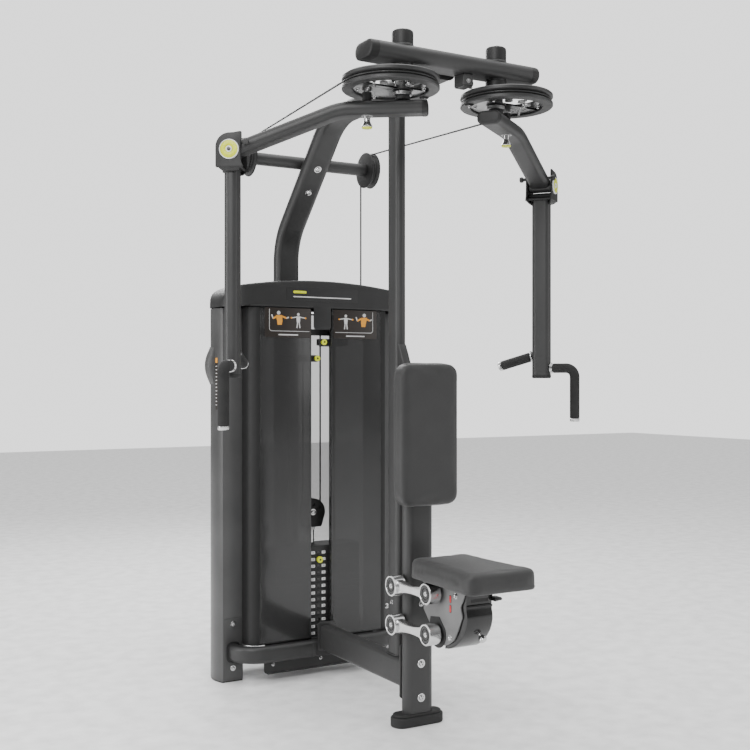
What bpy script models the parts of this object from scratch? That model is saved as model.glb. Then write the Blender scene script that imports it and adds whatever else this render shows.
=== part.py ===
"""Pec deck machine: a pin-loaded chest fly and rear delt machine.

Metres, +Z up. The origin is on the floor under the middle of the front post.
The user faces -Y, the weight tower stands at +Y, and X runs across the machine.
"""
import math

import bmesh
import bpy
from mathutils import Matrix, Vector

GAP = 0.0003                     # clearance between pieces that touch
WALL = 0.003                     # wall of the frame's steel tubes

# Front post, spine and masts
POST_WIDTH, POST_DEPTH = 0.100, 0.050
POST_TOP = 1.020
FOOT_HEIGHT = 0.038
SPINE_WIDTH, SPINE_LOW, SPINE_HIGH = 0.050, 0.100, 0.190
MAST_WIDTH, MAST_DEPTH, MAST_Y = 0.036, 0.070, 0.122
NECK_Y = 0.955                   # vertical stretch of the gooseneck
NECK_Z = 2.010                   # its horizontal stretch
NECK_SLOPE_SUM = 2.565           # its 45 degree stretch lies on y + z = this
NECK_BEND = 0.200

# Crossbeam and the two pivots that the arms turn about
BEAM_Y, BEAM_Z, BEAM_HALF = -0.188, 2.015, 0.300
BEAM_DEPTH, BEAM_HEIGHT = 0.100, 0.050
BEAM_BOTTOM = BEAM_Z - BEAM_HEIGHT / 2
PIVOT_X = 0.167
HOUSING_RADIUS, HOUSING_TOP, TOP = 0.0315, 2.088, 2.095
STOP_LOW, STOP_HIGH = (0.032, -0.209, 1.9535), (0.070, -0.158, 1.9915)

# Eccentric cams
CAM_OFFSET, CAM_RADIUS, CAM_Z = 0.040, 0.142, 1.929
CAM_HALF = 0.019
CAM_WEB_RADIUS, CAM_WEB_HALF = 0.105, 0.004
GROOVE_DEPTH, GROOVE_HALF = 0.010, 0.0055
CABLE_RADIUS = 0.003

# Swing arms, elbows, drop arms and grips
ARM_ANGLE = math.radians(35.5)   # rest direction of the right arm, from +X
ARM_REACH = 0.5025               # pivot to elbow, in plan
ARM_BEND, ARM_TAIL = 0.180, 0.075
ARM_WIDTH, ARM_HEIGHT, ARM_Z = 0.072, 0.040, 1.863
ELBOW_Z = 1.746
BARREL_RADIUS, BARREL_HALF, ELBOW_PIN_RADIUS = 0.022, 0.0395, 0.0095
LOCK_BACK, LOCK_RISE, LOCK_HALF, LOCK_RADIUS = 0.051, 0.0186, 0.060, 0.0055
DROP_WIDTH, DROP_THICK, DROP_BOTTOM = 0.064, 0.042, 1.080
PLATE_INNER, PLATE_THICK = 0.041, 0.006
GRIP_RADIUS = 0.0165
PIN_REACH = 0.104                # pop pin, from the pivot along the arm
PIN_STEM, PIN_KNOB = 0.0075, 0.036

# Guide pulleys on their bar behind the gooseneck
BAR_Y, BAR_Z, BAR_RADIUS, BAR_HALF = 0.756, 1.878, 0.023, 0.236
GUIDE_X, GUIDE_PITCH, GUIDE_HALF = 0.2535, 0.058, 0.015
AXLE_RADIUS = 0.012

# Weight tower
UPRIGHT_IN, UPRIGHT_OUT, UPRIGHT_ROUND = 0.277, 0.370, 0.123
UPRIGHT_FRONT, UPRIGHT_BACK, UPRIGHT_TOP = 0.726, 0.840, 1.330
UPRIGHT_FLOOR = 0.010
SHROUD_Y, SHROUD_IN, SHROUD_OUT = 0.650, 0.040, 0.280
SHROUD_LOW, SHROUD_HIGH, SHROUD_WALL = 0.136, 1.332, 0.003
HEADER_FRONT, HEADER_BACK, HEADER_LOW = 0.645, 0.850, 1.333
HEADER_MID, HEADER_SIDE, HEADER_WALL = 1.435, 1.410, 0.004
TAB_HALF, TAB_LOW = 0.035, 1.257
BASE_Z, BASE_HEIGHT, BASE_THICK = 0.1055, 0.060, 0.040
BUMPER_FRONT = 0.6175

# Weight stack
ROD_Y, ROD_X, ROD_RADIUS = 0.735, 0.090, 0.0095
PLATE_HALF, PLATE_FRONT, PLATE_BACK = 0.175, 0.680, 0.790
PLATE_COUNT, PLATE_PITCH, PLATE_ROW_1 = 13, 0.0245, 0.442
PLATE_GAP = 0.0005
HEAD_TOP = 0.467
PIN_ROW = 2
STACK_FLOOR = 0.135
SELECTOR_RADIUS, PIN_RADIUS = 0.010, 0.005
FLOAT_Z, FLOAT_PITCH = 0.586, 0.036
CROSSHEAD_LOW, CROSSHEAD_HIGH = 1.240, 1.262
TOP_PULLEY_PITCH = 0.030
INCREMENT_Z = {"right": 1.213, "left": 1.153}

# Seat: a four-bar linkage carries the pad
LINK_REAR_Y, LINK_FRONT_Y = 0.0, -0.197
LINK_RISE = 0.008
LINK_Z = {"upper": 0.438, "lower": 0.318}
LINK_IN, LINK_OUT, LINK_RING = 0.058, 0.097, 0.032
SHAFT_RADIUS, SHAFT_HOLE = 0.012, 0.0127
CARRIAGE_HALF, CARRIAGE_WALL, CARRIAGE_TOP = 0.050, 0.005, 0.4815
SEAT_LOW, SEAT_HIGH, SEAT_REAR, SEAT_FRONT = 0.482, 0.543, -0.115, -0.460
SEAT_HALF_REAR, SEAT_HALF_FRONT, SEAT_CORNER = 0.103, 0.120, 0.022
LEVER_IN, LEVER_OUT, LEVER_LOW, LEVER_THICK = 0.0525, 0.074, 0.438, 0.008
PAD_FRONT, PAD_HALF, PAD_LOW, PAD_HIGH = -0.084, 0.107, 0.685, 1.127


def clear_scene():
    for thing in list(bpy.data.objects):
        bpy.data.objects.remove(thing, do_unlink=True)


def new_collection(name):
    group = bpy.data.collections.new(name)
    bpy.context.scene.collection.children.link(group)
    return group


def material(name, color, roughness, metallic=0.0):
    made = bpy.data.materials.new(name)
    made.use_nodes = True
    shader = made.node_tree.nodes["Principled BSDF"]
    shader.inputs["Base Color"].default_value = (*color, 1.0)
    shader.inputs["Roughness"].default_value = roughness
    shader.inputs["Metallic"].default_value = metallic
    return made


clear_scene()
MACHINE = new_collection("pec_deck_machine")
CUTTERS = new_collection("cutters")
STEEL = material("charcoal_powder_coat", (0.045, 0.046, 0.048), 0.42, 0.3)
BLACK = material("black_plastic", (0.012, 0.012, 0.013), 0.35)
SMOKE = material("smoked_shroud", (0.02, 0.02, 0.022), 0.18)
RUBBER = material("black_rubber", (0.015, 0.015, 0.015), 0.8)
CHROME = material("chrome", (0.75, 0.75, 0.76), 0.12, 1.0)
ALLOY = material("polished_alloy", (0.72, 0.73, 0.74), 0.22, 1.0)
IRON = material("stack_iron", (0.03, 0.03, 0.032), 0.5, 0.6)
VINYL = material("upholstery", (0.03, 0.03, 0.031), 0.55)
LIME = material("lime_accent", (0.72, 0.80, 0.12), 0.35)
CABLE = material("cable_sheath", (0.02, 0.02, 0.02), 0.4)


# ---------------------------------------------------------------- outlines

def arc(center, radius, start, stop, count):
    """Points on an arc, angles in degrees."""
    angles = [math.radians(start + (stop - start) * i / count) for i in range(count + 1)]
    return [(center[0] + radius * math.cos(a), center[1] + radius * math.sin(a)) for a in angles]


def rounded_rect(width, height, radius, count=4, center=(0.0, 0.0)):
    points = []
    for quarter, (sx, sy) in enumerate(((1, 1), (-1, 1), (-1, -1), (1, -1))):
        corner = (center[0] + sx * (width / 2 - radius), center[1] + sy * (height / 2 - radius))
        points += arc(corner, radius, 90 * quarter, 90 * quarter + 90, count)
    return points


def circle(center, radius, count=16):
    return arc(center, radius, 0, 360, count)[:-1]


def strip(line, thickness):
    """Outline of a band of even thickness to the left of an open line."""
    inner = []
    for index, point in enumerate(line):
        before = Vector(line[max(index - 1, 0)])
        after = Vector(line[min(index + 1, len(line) - 1)])
        here = Vector(point)
        ways = [(way[1] - way[0]).normalized() for way in ((before, here), (here, after))
                if (way[1] - way[0]).length > 0]
        side = sum((Vector((-way.y, way.x)) for way in ways), Vector((0.0, 0.0))).normalized()
        grow = 1.0 / max(side.dot(Vector((-ways[0].y, ways[0].x))), 0.5)
        inner.append(tuple(here + side * thickness * grow))
    return list(line) + inner[::-1]


def mirror_x(points):
    return [(-x, y) for x, y in points][::-1]


# ---------------------------------------------------------------- solids

PLANES = {                       # where an outline's own x, y and depth point
    "XY": Matrix(((1, 0, 0), (0, 1, 0), (0, 0, 1))).to_4x4(),
    "XZ": Matrix(((1, 0, 0), (0, 0, -1), (0, 1, 0))).to_4x4(),
    "YZ": Matrix(((0, 0, 1), (1, 0, 0), (0, 1, 0))).to_4x4(),
}


def prism(name, loops, plane, low, high, surface, turn=None):
    """A flat outline, with holes as further loops, given depth from low to high."""
    data = bpy.data.curves.new(name, "CURVE")
    data.dimensions = "2D"
    data.fill_mode = "BOTH"
    data.extrude = abs(high - low) / 2
    for loop in loops:
        spline = data.splines.new("POLY")
        spline.points.add(len(loop) - 1)
        for point, place in zip(spline.points, loop):
            point.co = (place[0], place[1], 0.0, 1.0)
        spline.use_cyclic_u = True
    made = bpy.data.objects.new(name, data)
    depth = (low + high) / 2 * (-1 if plane == "XZ" else 1)
    made.matrix_world = (turn or Matrix()) @ PLANES[plane] @ Matrix.Translation((0, 0, depth))
    data.materials.append(surface)
    MACHINE.objects.link(made)
    return to_mesh(made)


def to_mesh(thing):
    """A curve's mesh, welded, in the curve's place."""
    bpy.context.view_layer.update()
    graph = bpy.context.evaluated_depsgraph_get()
    data = bpy.data.meshes.new_from_object(thing.evaluated_get(graph))
    data.transform(thing.matrix_world)
    work = bmesh.new()
    work.from_mesh(data)
    bmesh.ops.remove_doubles(work, verts=work.verts, dist=0.00001)
    bmesh.ops.recalc_face_normals(work, faces=work.faces)
    work.to_mesh(data)
    work.free()
    name, groups = thing.name, list(thing.users_collection)
    bpy.data.objects.remove(thing, do_unlink=True)
    data.name = name
    made = bpy.data.objects.new(name, data)
    for group in groups:
        group.objects.link(made)
    return made


def cylinder(name, start, end, radius, surface, sides=24):
    start, end = Vector(start), Vector(end)
    data = bpy.data.meshes.new(name)
    work = bmesh.new()
    bmesh.ops.create_cone(work, cap_ends=True, segments=sides, radius1=radius, radius2=radius,
                          depth=(end - start).length)
    work.to_mesh(data)
    work.free()
    way = Vector((0, 0, 1)).rotation_difference(end - start).to_matrix().to_4x4()
    data.transform(Matrix.Translation((start + end) / 2) @ way)
    data.materials.append(surface)
    made = bpy.data.objects.new(name, data)
    MACHINE.objects.link(made)
    return made


def box(name, low, high, surface):
    low, high = Vector(low), Vector(high)
    data = bpy.data.meshes.new(name)
    work = bmesh.new()
    bmesh.ops.create_cube(work, size=1.0)
    work.to_mesh(data)
    work.free()
    data.transform(Matrix.Translation((low + high) / 2) @ Matrix.Diagonal((*(high - low), 1.0)))
    data.materials.append(surface)
    made = bpy.data.objects.new(name, data)
    MACHINE.objects.link(made)
    return made


def turned(name, profile, center, axis, surface, steps=32):
    """A profile of (radius, height), from the top down, turned about an axis."""
    data = bpy.data.meshes.new(name)
    work = bmesh.new()
    closed = profile[0] == profile[-1]
    places = profile[:-1] if closed else profile
    points = [work.verts.new((radius, 0.0, height)) for radius, height in places]
    for first, second in zip(points, points[1:] + points[:1] if closed else points[1:]):
        work.edges.new((first, second))
    work.to_mesh(data)
    work.free()
    data.materials.append(surface)
    made = bpy.data.objects.new(name, data)
    MACHINE.objects.link(made)
    screw = made.modifiers.new("turn", "SCREW")
    screw.axis = "Z"
    screw.steps = steps
    screw.render_steps = steps
    screw.use_merge_vertices = True
    screw.merge_threshold = 0.00001
    way = Vector((0, 0, 1)).rotation_difference(Vector(axis)).to_matrix().to_4x4()
    made.matrix_world = Matrix.Translation(Vector(center)) @ way
    return made


def wire(name, points, radius, surface, sides=2):
    """A round rod or cable along a line of points."""
    data = bpy.data.curves.new(name, "CURVE")
    data.dimensions = "3D"
    data.bevel_depth = radius
    data.bevel_resolution = sides
    data.use_fill_caps = True
    spline = data.splines.new("POLY")
    spline.points.add(len(points) - 1)
    for point, place in zip(spline.points, points):
        point.co = (*place, 1.0)
    data.materials.append(surface)
    made = bpy.data.objects.new(name, data)
    MACHINE.objects.link(made)
    return to_mesh(made)


def bent_tube(name, points, section, surface):
    """A tube of the given section along a line of points, its wall turned inwards."""
    profile = bpy.data.curves.new(name + "_section", "CURVE")
    profile.dimensions = "2D"
    outline = profile.splines.new("POLY")
    outline.points.add(len(section) - 1)
    for point, place in zip(outline.points, section):
        point.co = (place[0], place[1], 0.0, 1.0)
    outline.use_cyclic_u = True
    guide = bpy.data.objects.new(name + "_section", profile)
    guide.hide_render = True
    guide.display_type = "WIRE"
    CUTTERS.objects.link(guide)
    data = bpy.data.curves.new(name, "CURVE")
    data.dimensions = "3D"
    data.twist_mode = "MINIMUM"
    data.bevel_mode = "OBJECT"
    data.bevel_object = guide
    spline = data.splines.new("POLY")
    spline.points.add(len(points) - 1)
    for point, place in zip(spline.points, points):
        point.co = (*place, 1.0)
    data.materials.append(surface)
    made = bpy.data.objects.new(name, data)
    MACHINE.objects.link(made)
    made = to_mesh(made)
    shell = made.modifiers.new("wall", "SOLIDIFY")
    shell.thickness = WALL
    shell.offset = -1.0
    return made


def boolean(target, tool, operation):
    tool.hide_render = True
    tool.display_type = "WIRE"
    for group in list(tool.users_collection):
        group.objects.unlink(tool)
    CUTTERS.objects.link(tool)
    step = target.modifiers.new(operation.lower(), "BOOLEAN")
    step.operation = operation
    step.object = tool
    step.solver = "EXACT"
    return target


def cut(target, *tools):
    for tool in tools:
        boolean(target, tool, "DIFFERENCE")
    return target


def weld(target, *tools):
    for tool in tools:
        boolean(target, tool, "UNION")
    return target


# ---------------------------------------------------------------- frame

def tube_loops(width, height, radius, center=(0.0, 0.0)):
    """The outer and inner outline of a walled tube."""
    outer = rounded_rect(width, height, radius, 4, center)
    inner = rounded_rect(width - 2 * WALL, height - 2 * WALL, radius - WALL, 4, center)
    return [outer, inner]


def column(name, width, depth, radius, place, low, high):
    """A vertical walled tube."""
    return prism(name, tube_loops(width, depth, radius, place), "XY", low, high, STEEL)


def make_front():
    prism("foot_pad", [rounded_rect(0.180, 0.070, 0.0345, 6)], "XY", 0.0, FOOT_HEIGHT, RUBBER)
    post = column("front_post", POST_WIDTH, POST_DEPTH, 0.022, (0, 0),
                        FOOT_HEIGHT + GAP, POST_TOP)
    for level in LINK_Z.values():
        hole = cylinder("post_hole", (-0.08, LINK_REAR_Y, level), (0.08, LINK_REAR_Y, level),
                        SHAFT_HOLE, STEEL, 20)
        cut(post, hole)
    spine_rear = BUMPER_FRONT - GAP
    middle = (SPINE_LOW + SPINE_HIGH) / 2
    loops = tube_loops(SPINE_WIDTH, SPINE_HIGH - SPINE_LOW, 0.012, (0, middle))
    spine = prism("spine_tube", loops, "XZ", POST_DEPTH / 2 + GAP, spine_rear, STEEL)
    flange_rear = POST_DEPTH / 2 + GAP + 0.008
    flange = prism("spine_flange", [rounded_rect(0.090, 0.170, 0.010, 3, (0, 0.160))], "XZ",
                   POST_DEPTH / 2 + GAP, flange_rear, STEEL)
    weld(spine, flange)


def make_masts():
    mast = column("rear_mast", MAST_WIDTH, MAST_DEPTH, 0.017, (0, MAST_Y),
                  SPINE_HIGH + GAP, NECK_Z - POST_DEPTH / 2 - GAP)
    mast_front = MAST_Y - MAST_DEPTH / 2
    brace_outline = [(-0.022, POST_TOP + GAP), (0.022, POST_TOP + GAP), (mast_front + 0.01, 1.095),
                     (mast_front + 0.01, 1.195), (mast_front - 0.002, 1.188), (0.060, 1.132),
                     (-0.022, 1.045)]
    brace = prism("mast_brace", [brace_outline], "YZ", -MAST_WIDTH / 2 + 0.002,
                  MAST_WIDTH / 2 - 0.002, STEEL)
    weld(mast, brace)


def neck_path():
    """The gooseneck's centre line: up, forward at 45 degrees, and level to the beam."""
    tangent = NECK_BEND * math.tan(math.radians(22.5))
    low_corner = NECK_SLOPE_SUM - NECK_Y
    high_corner = NECK_SLOPE_SUM - NECK_Z
    low = arc((NECK_Y - NECK_BEND, low_corner - tangent), NECK_BEND, 0, 45, 4)
    high = arc((high_corner - tangent, NECK_Z - NECK_BEND), NECK_BEND, 45, 90, 4)
    front = BEAM_Y + BEAM_DEPTH / 2 + 0.0005
    flat = [(NECK_Y, 0.0)] + low + high + [(front, NECK_Z)]
    return [(0.0, y, z) for y, z in flat]


def make_neck():
    section = rounded_rect(POST_WIDTH, POST_DEPTH, 0.022, 3)
    bent_tube("gooseneck", neck_path(), section, STEEL)


def make_beam():
    loops = tube_loops(BEAM_DEPTH, BEAM_HEIGHT, 0.022, (BEAM_Y, BEAM_Z))
    beam = prism("crossbeam", loops, "YZ", -BEAM_HALF, BEAM_HALF, STEEL)
    for side in (-1, 1):
        x = side * PIVOT_X
        weld(beam, cylinder("housing", (x, BEAM_Y, BEAM_BOTTOM - 0.002),
                            (x, BEAM_Y, HOUSING_TOP), HOUSING_RADIUS, STEEL, 24),
             cylinder("housing_bolt", (x, BEAM_Y, HOUSING_TOP - 0.004), (x, BEAM_Y, TOP),
                      0.018, CHROME, 12))
    weld(beam, box("stop_block", STOP_LOW, STOP_HIGH, BLACK))


def make_guide_bar():
    bar = cylinder("guide_bar", (-BAR_HALF, BAR_Y, BAR_Z), (BAR_HALF, BAR_Y, BAR_Z),
                   BAR_RADIUS, STEEL, 24)
    reach = GUIDE_X + GUIDE_HALF
    weld(bar, cylinder("guide_axle", (-reach - 0.005, BAR_Y, BAR_Z), (reach + 0.005, BAR_Y, BAR_Z),
                       AXLE_RADIUS, STEEL, 16))


# ---------------------------------------------------------------- tower

def upright_outline(side, inset=0.0):
    """The D shaped upright: a shallow round outer face between two creases."""
    middle = (UPRIGHT_FRONT + UPRIGHT_BACK) / 2
    half = (UPRIGHT_BACK - UPRIGHT_FRONT) / 2 - inset
    radius, tight = UPRIGHT_ROUND - inset, 0.004 - inset
    spread = math.degrees(math.asin(half / radius))
    x_in = UPRIGHT_IN + inset + tight
    right = (arc((UPRIGHT_OUT - UPRIGHT_ROUND, middle), radius, -spread, spread, 10)
             + arc((x_in, middle + half - tight), tight, 90, 180, 3)
             + arc((x_in, middle - half + tight), tight, 180, 270, 3))
    return right if side > 0 else mirror_x(right)


def shroud_line():
    """Plan of the right front shroud, from its inner lip to the upright."""
    bend = 0.042
    return ([(SHROUD_IN, SHROUD_Y + 0.022), (SHROUD_IN, SHROUD_Y)]
            + arc((SHROUD_OUT - bend, SHROUD_Y + bend), bend, 270, 360, 6)
            + [(SHROUD_OUT, UPRIGHT_FRONT - GAP)])


def make_tower():
    for side, word in ((-1, "left"), (1, "right")):
        upright = prism("upright_" + word, [upright_outline(side)], "XY", 0.0, UPRIGHT_TOP, STEEL)
        inside = prism("upright_inside", [upright_outline(side, WALL)], "XY", UPRIGHT_FLOOR,
                       UPRIGHT_TOP + 0.05, STEEL)
        cut(upright, inside)
        band = strip(shroud_line(), SHROUD_WALL)
        prism("shroud_" + word, [band if side > 0 else mirror_x(band)], "XY", SHROUD_LOW,
              SHROUD_HIGH, SMOKE)
    rear = ([(SHROUD_OUT, UPRIGHT_BACK + GAP)]
            + arc((SHROUD_OUT - 0.030, UPRIGHT_BACK + 0.015), 0.030, 0, 90, 5))
    rear_line = rear + [(-x, y) for x, y in rear[::-1]]
    prism("rear_shroud", [strip(rear_line, SHROUD_WALL)], "XY", SHROUD_LOW, UPRIGHT_TOP, SMOKE)
    kick = rounded_rect(0.450, 0.105, 0.012, 3, (0, 0.0825))
    kick_y = BUMPER_FRONT + BASE_THICK + 0.004
    prism("kick_panel", [kick], "XZ", kick_y, kick_y + 0.004, BLACK)
    card = rounded_rect(0.060, 0.150, 0.026, 4, (0.768, 1.120))
    prism("side_holder", [card], "YZ", -UPRIGHT_OUT - 0.022, -UPRIGHT_OUT - GAP, BLACK)


def base_path(y_end, y_far, bend=0.085):
    """Plan of a U shaped base tube: out of one upright, across, and into the other."""
    x = (UPRIGHT_IN + UPRIGHT_OUT) / 2 - 0.008
    way = 1 if y_far > y_end else -1
    corner = arc((x - bend, y_far - way * bend), bend, 0, way * 90, 5)
    half = [(x, y_end)] + corner
    return [(px, py, BASE_Z) for px, py in half + [(-qx, qy) for qx, qy in half[::-1]]]


def make_base():
    section = rounded_rect(BASE_THICK, BASE_HEIGHT, 0.014, 2)
    bent_tube("front_base_tube", base_path(UPRIGHT_FRONT - 0.0005, BUMPER_FRONT + BASE_THICK / 2),
              section, STEEL)
    rear_face = NECK_Y - POST_DEPTH / 2 - GAP
    bent_tube("rear_base_tube", base_path(UPRIGHT_BACK + 0.0005, rear_face - BASE_THICK / 2, 0.060),
              section, STEEL)


def header_outline(inset=0.0, low=HEADER_LOW):
    """Front view of the header: an arched top and round shoulders."""
    rise = HEADER_MID - HEADER_SIDE
    half = 0.310
    crown = []
    for index in range(9):
        x = half * (1 - index / 4)
        crown.append((x, HEADER_SIDE - inset + rise * (1 - (x / half) ** 2)))
    reach = UPRIGHT_OUT - inset
    shoulder = 0.075
    right = arc((reach - shoulder, HEADER_SIDE - inset - shoulder), shoulder, 0, 75, 5)
    left = [(-x, z) for x, z in right[::-1]]
    return [(reach, low)] + right + crown + left + [(-reach, low)]


def header_plan(inset=0.0):
    """The header seen from above: broad round corners in front, tighter ones behind."""
    broad, tight = 0.085, 0.046
    right = (arc((UPRIGHT_OUT - broad, HEADER_FRONT + broad), broad - inset, 270, 360, 6)
             + arc((UPRIGHT_OUT - tight, HEADER_BACK - tight), tight - inset, 0, 90, 4))
    return right + mirror_x(right)


def header_solid(name, inset, low):
    solid = prism(name, [header_outline(inset, low)], "XZ", HEADER_FRONT + inset,
                  HEADER_BACK - inset, BLACK)
    plan = prism(name + "_plan", [header_plan(inset)], "XY", low - 0.02, HEADER_MID + 0.02, BLACK)
    return boolean(solid, plan, "INTERSECT")


def make_header():
    header = header_solid("header", 0.0, HEADER_LOW)
    inside = header_solid("header_inside", HEADER_WALL, HEADER_LOW - 0.1)
    tab = box("header_tab", (-TAB_HALF, HEADER_FRONT + GAP, TAB_LOW),
              (TAB_HALF, HEADER_FRONT + HEADER_WALL - GAP, HEADER_LOW + 0.010), BLACK)
    weld(cut(header, inside), tab)
    for side in (-1, 1):
        x, y = side * GUIDE_X, BAR_Y + GUIDE_PITCH
        cut(header, cylinder("cable_hole", (x, y, 1.36), (x, y, 1.46), 0.009, BLACK, 12))


# ---------------------------------------------------------------- stack

def plate_loops(rod_hole=0.0105, selector_hole=0.0115):
    outline = rounded_rect(2 * PLATE_HALF, PLATE_BACK - PLATE_FRONT, 0.006, 2,
                           (0, (PLATE_FRONT + PLATE_BACK) / 2))
    return [outline, circle((-ROD_X, ROD_Y), rod_hole, 12), circle((ROD_X, ROD_Y), rod_hole, 12),
            circle((0, ROD_Y), selector_hole, 16)]


def row_height(row):
    return PLATE_ROW_1 - PLATE_PITCH * (row - 1)


def pin_hole(row):
    z = row_height(row)
    return cylinder("pin_hole", (0, PLATE_FRONT - 0.02, z), (0, ROD_Y + 0.025, z),
                    PIN_RADIUS + 0.0006, IRON, 10)


def make_stack():
    half = PLATE_PITCH / 2 - PLATE_GAP / 2
    head = prism("head_plate", plate_loops(selector_hole=SELECTOR_RADIUS + 2 * GAP), "XY",
                 row_height(1) - half, HEAD_TOP, IRON)
    cut(head, pin_hole(1))
    second = prism("weight_plate_2", plate_loops(), "XY", row_height(2) - half,
                   row_height(2) + half, IRON)
    cut(second, pin_hole(2))
    low, high = STACK_FLOOR + PLATE_GAP, row_height(PIN_ROW + 1) + half
    notch = 0.003
    front, back = [], []
    for row in range(PIN_ROW + 1, PLATE_COUNT + 1):
        for edge in (1, -1):
            z = row_height(row) + edge * (half - 0.001)
            z = high if row == PIN_ROW + 1 and edge > 0 else z
            z = low if row == PLATE_COUNT and edge < 0 else z
            front.append((PLATE_FRONT, z))
            back.append((PLATE_BACK, z))
            if row < PLATE_COUNT and edge < 0:
                front += [(PLATE_FRONT + notch, z - 0.0004), (PLATE_FRONT + notch, z - 0.0021)]
                back += [(PLATE_BACK - notch, z - 0.0006), (PLATE_BACK - notch, z - 0.0019)]
    comb = prism("weight_stack", [front + back[::-1]], "YZ", -PLATE_HALF, PLATE_HALF, IRON)
    holes = prism("rod_holes", [circle((-ROD_X, ROD_Y), 0.0105, 12),
                                circle((ROD_X, ROD_Y), 0.0105, 12),
                                circle((0, ROD_Y), 0.0115, 12)], "XY", low - 0.02, high + 0.02, IRON)
    cut(comb, holes)
    rod_low = row_height(PLATE_COUNT) - 0.004
    stem = 0.531
    selector = cylinder("selector_rod", (0, ROD_Y, rod_low), (0, ROD_Y, stem - GAP),
                        SELECTOR_RADIUS, ALLOY, 16)
    z = row_height(PIN_ROW)
    cut(selector, cylinder("rod_cross_hole", (0, ROD_Y - 0.03, z), (0, ROD_Y + 0.03, z),
                           PIN_RADIUS + 0.0006, IRON, 10))
    box("stack_base", (-0.200, 0.668, STACK_FLOOR - 0.010), (0.200, 0.836, STACK_FLOOR), STEEL)
    for side, word in ((-1, "left"), (1, "right")):
        cylinder("guide_rod_" + word, (side * ROD_X, ROD_Y, STACK_FLOOR + GAP),
                 (side * ROD_X, ROD_Y, CROSSHEAD_LOW - GAP), ROD_RADIUS, CHROME, 16)
    crosshead = prism("crosshead", [rounded_rect(2 * UPRIGHT_IN - 0.002, 0.040, 0.006, 2,
                                                 (0, ROD_Y))],
                      "XY", CROSSHEAD_LOW, CROSSHEAD_HIGH, STEEL)
    for side in (-1, 1):
        x = side * FLOAT_PITCH
        cut(crosshead, cylinder("strand_hole", (x, ROD_Y, 1.2), (x, ROD_Y, 1.3), 0.006, STEEL, 10))


def make_selector_pin():
    z = row_height(PIN_ROW)
    front = PLATE_FRONT - GAP
    pin = turned("selector_pin", [(0, 0.020), (0.009, 0.020), (0.012, 0.017), (0.012, 0.008),
                                  (0.0075, 0.0), (PIN_RADIUS, 0.0), (PIN_RADIUS, -0.072),
                                  (0, -0.076)], (0, front, z), (0, -1, 0), LIME, 20)
    return pin


def make_floating_pulley():
    center = (0, ROD_Y, FLOAT_Z)
    half = 0.007
    groove = FLOAT_PITCH - CABLE_RADIUS - 0.0004
    sheave("floating_pulley", center, (0, 1, 0), groove, FLOAT_PITCH + 0.006, half, 0.0082)
    radius = 0.050
    bracket_low = 0.531
    outline = (arc((0, FLOAT_Z), radius, -25, 205, 16)
               + [(-0.034, bracket_low), (0.034, bracket_low)])
    bracket = prism("pulley_bracket", [outline], "XZ", ROD_Y - 0.0135, ROD_Y + 0.0135, BLACK)
    room = box("bracket_room", (-0.07, ROD_Y - half - 0.0015, bracket_low + 0.010),
               (0.07, ROD_Y + half + 0.0015, FLOAT_Z + 0.07), BLACK)
    cut(bracket, room)
    weld(bracket, cylinder("bracket_axle", (0, ROD_Y - 0.016, FLOAT_Z), (0, ROD_Y + 0.016, FLOAT_Z),
                           0.0075, CHROME, 16))


def sheave(name, center, axis, groove, rim, half, bore):
    """A grooved pulley, open along its bore."""
    seat = min(CABLE_RADIUS * 1.15, half - 0.002)
    profile = [(bore, half), (rim, half), (rim, half - 0.0025), (groove, seat * 0.8),
               (groove, -seat * 0.8), (rim, -half + 0.0025), (rim, -half), (bore, -half),
               (bore, half)]
    return turned(name, profile, center, axis, BLACK, 20)


def make_increments():
    """Two small add-on weights, each on one guide rod, parked high in the tower."""
    for side, word in ((-1, "left"), (1, "right")):
        z = INCREMENT_Z[word]
        outline = [(0.002, 0.675), (0.125, 0.675), (0.125, 0.795), (0.058, 0.795), (0.058, 0.700),
                   (0.002, 0.700)]
        hole = circle((ROD_X, ROD_Y), 0.0105, 12)
        loops = [outline, hole]
        if side < 0:
            loops = [mirror_x(loop) for loop in loops]
        block = prism("increment_" + word, loops, "XY", z - 0.012, z + 0.012, IRON)
        weld(block, cylinder("increment_knob", (side * 0.014, 0.680, z), (side * 0.014, 0.655, z),
                             0.0105, LIME, 16))


# ---------------------------------------------------------------- cable

def cable_plane(side):
    """Start, direction and length of the upper cable's vertical plane on one side."""
    start = Vector((side * FLOAT_PITCH, ROD_Y))
    end = Vector((side * GUIDE_X, BAR_Y + GUIDE_PITCH))
    return start, (end - start).normalized(), (end - start).length


def top_pulley_centers(side):
    start, way, length = cable_plane(side)
    pitch = TOP_PULLEY_PITCH
    inner_z = CROSSHEAD_HIGH + 0.0365
    inner = start + way * pitch
    outer = start + way * (length - pitch)
    return (inner.x, inner.y, inner_z), (outer.x, outer.y, inner_z + 2 * pitch)


def cam_tangent(side):
    """Where the straight run of cable meets the cam's groove, in plan."""
    center = Vector((PIVOT_X + CAM_OFFSET, BEAM_Y))
    radius = CAM_RADIUS - GROOVE_DEPTH + CABLE_RADIUS + 0.0006
    target = Vector((GUIDE_X, BAR_Y))
    away = target - center
    spread = math.acos(radius / away.length)
    angle = math.atan2(away.y, away.x) - spread
    spot = center + radius * Vector((math.cos(angle), math.sin(angle)))
    return Vector((side * spot.x, spot.y, CAM_Z))


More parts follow.
